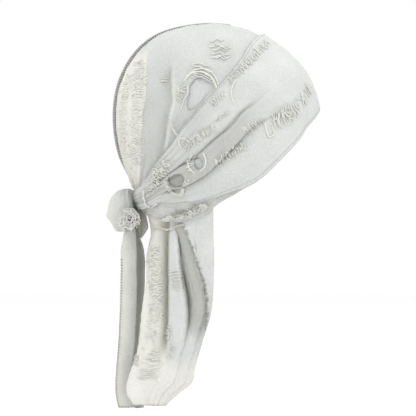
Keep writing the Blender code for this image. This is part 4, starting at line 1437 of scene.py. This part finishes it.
# How each cloth is held, in metres: (cloth, held, rests on, flat width, flat length, area)
SHEETS = (
    (CROWN, "stretched", (), 0.30, 0.30, 0.085),
    (WRAP, "stretched", ("cloth_crown",), 0.44, 0.12, 0.0500),
    (BAND, "stretched", ("cloth_crown",), 0.30, 0.03, 0.0075),
    (FLAP, "hung", ("cloth_lower_band",), 0.22, 0.20, 0.038),
    (RIGHT_TIE, "hung", ("knot_ball",), 0.035, 0.175, 0.0058),
    (LEFT_TIE, "hung", ("knot_ball",), 0.03, 0.15, 0.0039),
)


def tucked(surface):
    """A tail's surface with its top drawn in and up inside the knot."""
    def inner(u, v):
        points = surface(u, v)
        top = 1 - ease(v / 0.12)
        centre = points[v < 0.02].mean(0)
        points[:, :2] -= 0.35 * top[:, None] * (points - centre)[:, :2]
        points[:, 2] += TAIL_TUCK * top
        return points
    return inner


def drawn_forward(surface):
    """The flap's surface with its back edge drawn forward of the ties at mid height."""
    def inner(u, v):
        points = surface(u, v)
        down = on_sheet(points)[1]
        height = ease((down - 250) / 40) * (1 - ease((down - 345) / 45))
        points[:, 0] += FLAP_CLEARS * height * ease((-0.058 - points[:, 0]) / 0.014)
        return points
    return inner


def make_cloths():
    """The sheets of cloth, each in the place of its CAD solid."""
    tail_right = tucked(tail_surface(RIGHT_TAIL_SECTIONS, -1, RIGHT_TAIL_DROP, TAIL_FOLD))
    tail_left = tucked(tail_surface(LEFT_TAIL_SECTIONS, 1, LEFT_TAIL_DROP, LEFT_TAIL_FOLD))
    # Columns: name, surface, cells, wall, slot, relief, paint
    plan = (
        (CROWN, crown_surface, (200, 170), CROWN_WALL, "crown_cloth", crown_relief, crown_paint),
        (WRAP, wrap_surface, (330, 72), WRAP_WALL, "wrap_cloth", wrap_relief, wrap_paint),
        (BAND, band_surface, (230, 20), BAND_WALL, "band_cloth",
         relief_of(0.012, 0.0003, 51), band_paint),
        (FLAP, drawn_forward(flap_surface), (200, 120), FLAP_WALL, "flap_cloth",
         flap_relief, flap_paint),
        (RIGHT_TIE, tail_right, (36, 110), TAIL_WALL, "tie_cloth",
         relief_of(0.018, 0.0004, 52), tail_paint),
        # The left tie, behind the right one, is painted mid grey all over: painted shade
        (LEFT_TIE, tail_left, (26, 90), TAIL_WALL, "tie_cloth",
         relief_of(0.018, 0.0004, 53), plain_paint(MID_GREY, 46)),
    )
    flat = {name: (width, length) for name, _, _, width, length, _ in SHEETS}
    return {name: Cloth(name, surface, cells, wall, flat[name], slot, relief, paint)
            for name, surface, cells, wall, slot, relief, paint in plan}


# Cloth behind the holes: how far in, and past a hole's borders on the drawing
LINING_DEPTH = 0.0007
LINING_MARGIN = 6


def make_lining(name, cloth, outline, tint):
    """The layer seen through a hole: a patch of smooth thin cloth close behind it."""
    spots = np.asarray(outline, float)
    low, high = spots.min(0) - LINING_MARGIN, spots.max(0) + LINING_MARGIN
    x, y = on_sheet(cloth.inner)
    wanted = (x > low[0]) & (x < high[0]) & (y > low[1]) & (y < high[1]) & (cloth.inner[:, 1] < 0)
    faces = grid_faces(cloth.cells[0] + 1, cloth.cells[1] + 1)
    faces = faces[wanted[faces].all(1)]
    soft = 0.0003 * np.sin((x + 0.6 * y) * 0.7 + 2 * ripples(cloth.inner, 0.02, 71))
    points = cloth.inner - (LINING_DEPTH - soft)[:, None] * cloth.out
    # For the wrap's holes this tint is painted shade of the hole's inside
    tints = np.tile(tint, (len(points), 1))
    uvs = np.stack((x, y), -1) / 1000
    thicken(grid_part(name, points, faces, tints, uvs), 0.0004, -1)


def dress(cloths):
    """Loose threads, tangles, braids and yarns over the cloths."""
    rng = np.random.default_rng(7)
    threads = {name: Yarns("threads_" + name, "frayed_cloth") for name in cloths}
    for side, table in ((-1, LADDERS), (1, FAR_LADDERS)):
        for name, left, right, count, sway, rise, tint, waves in table:
            ladder(threads[name], cloths[name], left, right, count, sway, rise, tint, waves,
                   side, rng)
    for name, line, count, size, spread, tint in TANGLES:
        curls(threads[name], cloths[name], line, count, size, spread, tint, -1, rng)
    for name, line, strands, width, radius, tint in BRAIDS:
        braid(threads[name], cloths[name], line, strands, width, radius, tint, -1, rng)
    for name, line, radius, tint in LOOSE_YARNS:
        yarn(threads[name], cloths[name], line, radius, tint, -1)
    for yarns in threads.values():
        if yarns.count:
            yarns.make(THREAD)


# Rows of stitches: (cloth, place across it, pitch, length, radius, tint)
STITCH_ROWS = (
    # The wrap's grey edge stitches: partly the thread's grey, partly painted shade under the edge
    (WRAP, 0.022, 0.0030, 0.0022, 0.00028, THREAD_GREY),
    (WRAP, 0.975, 0.0030, 0.0022, 0.00028, THREAD_GREY),
    (BAND, 0.45, 0.0026, 0.0017, 0.00025, MID_GREY),
    (BAND, 0.62, 0.0026, 0.0017, 0.00025, MID_GREY),
    (BAND, 0.80, 0.0026, 0.0017, 0.00025, MID_GREY),
)


def sew(cloths):
    """Stitches and overlocked edges."""
    hems = Yarns("hems", "seam_thread")
    run = np.linspace(0, 1, 400)
    for name, row, pitch, length, radius, tint in STITCH_ROWS:
        stitches(hems, cloths[name], run, row + 0 * run, pitch, length, radius, tint)
    flap, right, left = (cloths[name] for name in (FLAP, RIGHT_TIE, LEFT_TIE))
    hem = (1 - FLAP_STOPS[3]) / 2
    down = np.linspace(0.16, 0.93, 300)
    down = down[on_sheet(flap.at(hem + 0 * down, down))[1] < HEM_END]
    edge = np.linspace(0.15, 1.0, 300)
    # Columns: cloth, places across it, places down it, which way is inward, pitch, radius, tint
    edges = (
        # The flap's mid grey sewn line: partly the thread's grey, partly painted shade along the
        # fold's edge
        (flap, hem + 0 * down, down, 1, 0.0024, 0.00034, MID_GREY),
        (flap, run, 0.997 + 0 * run, 1, 0.0030, 0.00030, MID_GREY),
        (right, 0.004 + 0 * edge, edge, -1, 0.0028, 0.00042, THREAD_GREY),
        (right, run, 0.996 + 0 * run, 1, 0.0028, 0.00042, THREAD_GREY),
        (left, 0.004 + 0 * edge, edge, -1, 0.0026, 0.00034, MID_GREY),
    )
    for cloth, u, v, inward, pitch, radius, tint in edges:
        overlock(hems, cloth, u, v, inward, pitch, radius, tint)
    hems.make(THREAD)


def make_seam():
    """The raised centre seam: a flange of both cloths, thread wound over its edge."""
    angles = np.radians(np.linspace(SEAM_NAPE_ANGLE, SEAM_TOP_ANGLE, 260))
    degrees = np.degrees(angles)
    chart = np.stack((np.cos(angles), np.sin(angles)), -1)
    fade = ease((degrees - SEAM_FADES) / SEAM_RISE)
    fade = fade * (0.1 + 0.9 * ease((SEAM_NAPE_ANGLE - degrees) / 14))
    height = SEAM_HEIGHT * (0.04 + 0.96 * fade)
    low = on_head(chart, CROWN_WALL + 0 * height, -1)
    high = on_head(chart, CROWN_WALL + height, -1)
    low[:, 1], high[:, 1] = 0, 0
    flange = Yarns("seam_flange", "seam_thread")
    for share in np.linspace(0.1, 0.8, 4):
        tint = blend(OFF_WHITE, THREAD_GREY, 0.6 * fade)
        flange.add(low + (high - low) * share, SEAM_CORD, tint, 6)
    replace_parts(flange.make(THREAD), "centre_seam")
    along = lengths_along(high)
    spots = np.linspace(0, along[-1], int(along[-1] / SEAM_PITCH) * SEAM_STEPS)
    place = np.arange(len(along))
    share = np.interp(spots, along, place)
    middle, rise = (np.stack([np.interp(share, place, line[:, i] / 2) for i in range(3)], -1)
                    for line in (low + high, high - low))
    turn = np.arange(len(spots)) * math.tau / SEAM_STEPS
    aside = np.array((0, SEAM_HALF_WIDTH, 0))
    coil = middle + rise * np.sin(turn)[:, None] + aside * np.cos(turn)[:, None]
    rope = Yarns("seam_rope", "seam_thread")
    rope.add(coil, 0.00062, blend(OFF_WHITE, SEAM_GREY, np.interp(share, place, fade)))
    rope.make(THREAD)


def make_knot():
    """The knot: a smooth fat loop with soft folds that gather at its top and foot."""
    sides, rows = 120, 90
    turn, height = np.meshgrid(np.linspace(0, math.tau, sides, endpoint=False),
                               np.linspace(0, 1, rows + 1), indexing="ij")
    gather = 0.25 + ease((0.30 - height) / 0.30) + ease((height - 0.75) / 0.25)
    swirl = turn * 7 + 3.0 * height
    folds = 0.0009 * gather * (np.sin(swirl) + 0.5 * np.sin(2.3 * swirl + 1))
    base = knot_point(turn, height, 0)
    out = folds - 0.0004 + 0.0003 * ripples(base, 0.015, 61)
    points = knot_point(turn, height, out).reshape(-1, 3)
    foot = np.arange(sides) * (rows + 1)
    faces = grid_faces(sides, rows + 1, closed=True).tolist()
    faces += [foot[::-1].tolist(), (foot + rows).tolist()]
    # Painted warm light: cream towards the back; painted shade: dark at the front, in the recess
    # by the band
    tints = blend(PALE_GREY, CREAM, ease((-points[:, 0] - 0.098) / 0.010))
    tints = blend(tints, DARK_GREY, 0.9 * ease((points[:, 0] + 0.0845) / 0.004))
    uvs = np.stack((turn.ravel() * 0.016, height.ravel() * KNOT_HEIGHT), -1)
    piece = mesh_piece("knot_ball", points, faces, tints, COTTON, uvs)
    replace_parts(piece, "knot")


# The crown's gathers behind the knot
NAPE_FORWARD = -0.0815
NAPE_CURVE = 0.005       # how far they bow towards their ends
NAPE_HALF_WIDTH = 0.021
NAPE_TOP = -0.160
NAPE_HEIGHT = 0.020
PATCH_WALL = 0.0008

# The cloth between the knot and the band on the drawing: (down, back edge, front edge)
THROAT = (
    (203, 134, 145.3),
    (210, 135, 145.5),
    (216, 136, 146.4),
    (224, 137, 148.0),
    (228, 137.5, 148.2),
    (233, 139, 145.0),
    (238, 140.5, 141.5),
)


def make_throat():
    """The end of the tie that runs from the band into the knot, in the shade of both."""
    wide, tall = 16, 60
    s, t = np.meshgrid(np.linspace(0, 1, wide + 1), np.linspace(0, 1, tall + 1), indexing="ij")
    down = THROAT[0][0] + (THROAT[-1][0] - THROAT[0][0]) * t
    back, front = (across_at(THROAT, down, i) for i in (1, 2))
    x, z = from_sheet(np.stack((back + (front - back) * s, down), -1))
    y = -0.002 + 0.0012 * np.cos(math.tau * (1.4 * s + 0.4 * t)) * hump(0.1 + 0.8 * t)
    down, s, t = down.ravel(), s.ravel(), t.ravel()
    # Painted shade: dark under the knot, olive lower down, paler grey towards the front
    tints = blend(DARK_GREY, THROAT_OLIVE, ease((down - 203) / 11))
    tints = blend(tints, MID_GREY, ease((s - 0.5) / 0.12) * ease((down - 207) / 5))
    uvs = np.stack((s * 0.014, t * 0.035), -1)
    grid_piece("knot_throat", np.stack((x, y, z), -1), tints, uvs, PATCH_WALL)


def make_nape():
    """The crown's gathered edge behind the knot, where its cloth runs into the tie."""
    wide, tall = 60, 24
    s, t = np.meshgrid(np.linspace(-1, 1, wide + 1), np.linspace(0, 1, tall + 1), indexing="ij")
    pleats = 0.0009 * np.sin(24 * s + 2 * t) * hump(0.1 + 0.8 * t)
    x = NAPE_FORWARD + NAPE_CURVE * s ** 2 + 0.002 * t + pleats
    z = NAPE_TOP - NAPE_HEIGHT * t
    points = np.stack((x, NAPE_HALF_WIDTH * s, z), -1)
    tints = blend(PALE_GREY, NAPE_SHADE, ease(t.ravel() / 0.7))
    uvs = np.stack((s.ravel() * NAPE_HALF_WIDTH, t.ravel() * NAPE_HEIGHT), -1)
    grid_piece("nape_gathers", points, tints, uvs, PATCH_WALL)


def make_rosette():
    """The tie's rolled end, a coil of raw cloth edge; returns its outer edge."""
    x, y, z = rosette_centre()
    along = np.linspace(0, 1, 150)
    angle = math.tau * ROSETTE_TURNS * along
    reach = ROSETTE_RADIUS * (0.10 + 0.98 * along)
    petals = reach * (1 + 0.06 * np.sin(5 * angle + 1))
    depth = ROSETTE_DEPTH * (0.95 - 0.30 * along + 0.06 * np.sin(3.3 * angle))
    rows = np.linspace(0, 1, 7)
    points = []
    for row in rows:
        flare = 1 - 0.12 * (1 - row)
        points.append(np.stack((x + petals * flare * np.cos(angle), y - depth * row,
                                z + petals * flare * np.sin(angle)), -1))
    points = np.stack(points, 1)
    tints = blend(OFF_WHITE, WHITE, np.tile(rows, len(along)))
    across = np.tile(np.linspace(0, ROSETTE_DEPTH, len(rows)), len(along))
    uvs = np.stack((np.repeat(along * 0.12, len(rows)), across), -1)
    piece = grid_piece("knot_end_roll", points, tints, uvs, 0.0011)
    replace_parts(piece, "knot_end")
    return points[:, -1]


def make_fray(edge):
    """Frayed threads of the rosette: along its edge, then curled over its face."""
    rng = np.random.default_rng(3)
    x, y, z = rosette_centre()
    fray = Yarns("knot_end_fray", "frayed_cloth")
    for _ in range(90):
        k = rng.integers(6, len(edge) - 8)
        span = edge[k - 4:k + 6]
        lift = rng.uniform(-0.0004, 0.0012) * np.sin(np.linspace(0, math.pi, len(span)))
        path = span + rng.normal(0, 0.0006, 3) + np.stack((0 * lift, -lift, 0 * lift), -1)
        radius = 0.00038 * rng.uniform(0.7, 1.3)
        fray.add(path, radius, np.array(WHITE) * rng.uniform(0.85, 1.05))
    for _ in range(150):
        place = rng.uniform(0, math.tau)
        out = ROSETTE_RADIUS * rng.uniform(0.25, 1.0) ** 0.6
        bend = rng.uniform(0, math.tau)
        bend = bend + np.linspace(0, rng.uniform(2.0, 4.5), 10) * rng.choice((-1, 1))
        size = rng.uniform(0.0009, 0.0022)
        rise = 0.0003 + 0.0016 * rng.uniform(0.2, 1) * np.linspace(0, 1, 10)
        path = np.stack((x + out * math.cos(place) + size * np.cos(bend),
                         y - ROSETTE_DEPTH * 0.8 - rise,
                         z + out * math.sin(place) + size * np.sin(bend)), -1)
        radius = 0.00036 * rng.uniform(0.7, 1.2)
        fray.add(path, radius, np.array(WHITE) * rng.uniform(0.88, 1.05))
    fray.make(THREAD)


# The camera stands far off beside the model, and sees a square as wide as the drawing
CAMERA_DISTANCE = 4.0
VIEW_WIDTH = 0.416
SENSOR_WIDTH = 36
FLOOR_HEIGHT = -0.40
LIGHTS_AIM = (0, 0, -0.15)
# Soft lights: (name, place, size, power)
LIGHTS = (
    ("key", (-0.6, -2.0, 2.2), 1.2, 22),
    ("brow", (2.2, -1.2, 1.4), 1.4, 10),
    ("top", (0.0, 0.6, 2.6), 1.4, 14),
)


def make_floor():
    """The pale floor."""
    bpy.ops.mesh.primitive_plane_add(size=12, location=(0, 0, FLOOR_HEIGHT))
    floor = bpy.context.object
    floor.name = "floor"
    finish = bpy.data.materials.new("floor_white")
    finish.use_nodes = True
    shader = finish.node_tree.nodes["Principled BSDF"]
    shader.inputs["Base Color"].default_value = (0.97, 0.97, 0.97, 1)
    shader.inputs["Roughness"].default_value = 0.9
    floor.data.materials.append(finish)


def make_lights():
    """White surroundings and the soft lights."""
    world = bpy.data.worlds.new("studio")
    world.use_nodes = True
    background = world.node_tree.nodes["Background"]
    background.inputs["Color"].default_value = (1, 1, 1, 1)
    background.inputs["Strength"].default_value = 1.0
    bpy.context.scene.world = world
    for name, place, size, power in LIGHTS:
        lamp = bpy.data.lights.new(name, "AREA")
        lamp.size = size
        lamp.energy = power
        light = bpy.data.objects.new(name, lamp)
        light.location = place
        aim = Vector(LIGHTS_AIM) - Vector(place)
        light.rotation_euler = aim.to_track_quat("-Z", "Y").to_euler()
        bpy.context.scene.collection.objects.link(light)


def make_camera():
    """The camera at the photograph's side view."""
    lens = bpy.data.cameras.new("camera")
    lens.sensor_width = SENSOR_WIDTH
    lens.lens = SENSOR_WIDTH * CAMERA_DISTANCE / VIEW_WIDTH
    lens.clip_end = 30
    camera = bpy.data.objects.new("camera", lens)
    camera.location = (SHEET_LEFT + VIEW_WIDTH / 2, -CAMERA_DISTANCE, SHEET_TOP - VIEW_WIDTH / 2)
    camera.rotation_euler = (math.pi / 2, 0, 0)
    bpy.context.scene.collection.objects.link(camera)
    bpy.context.scene.camera = camera
    bpy.context.scene.view_settings.view_transform = "Standard"


def main():
    """The studio, then the head wrap piece by piece."""
    make_floor()
    make_lights()
    make_camera()
    cloths = make_cloths()
    make_seam()
    make_knot()
    make_throat()
    make_nape()
    make_fray(make_rosette())
    for number, (name, tint, outline) in enumerate(HOLES, 1):
        make_lining("lining_%d" % number, cloths[name], outline, tint)
    dress(cloths)
    sew(cloths)


main()
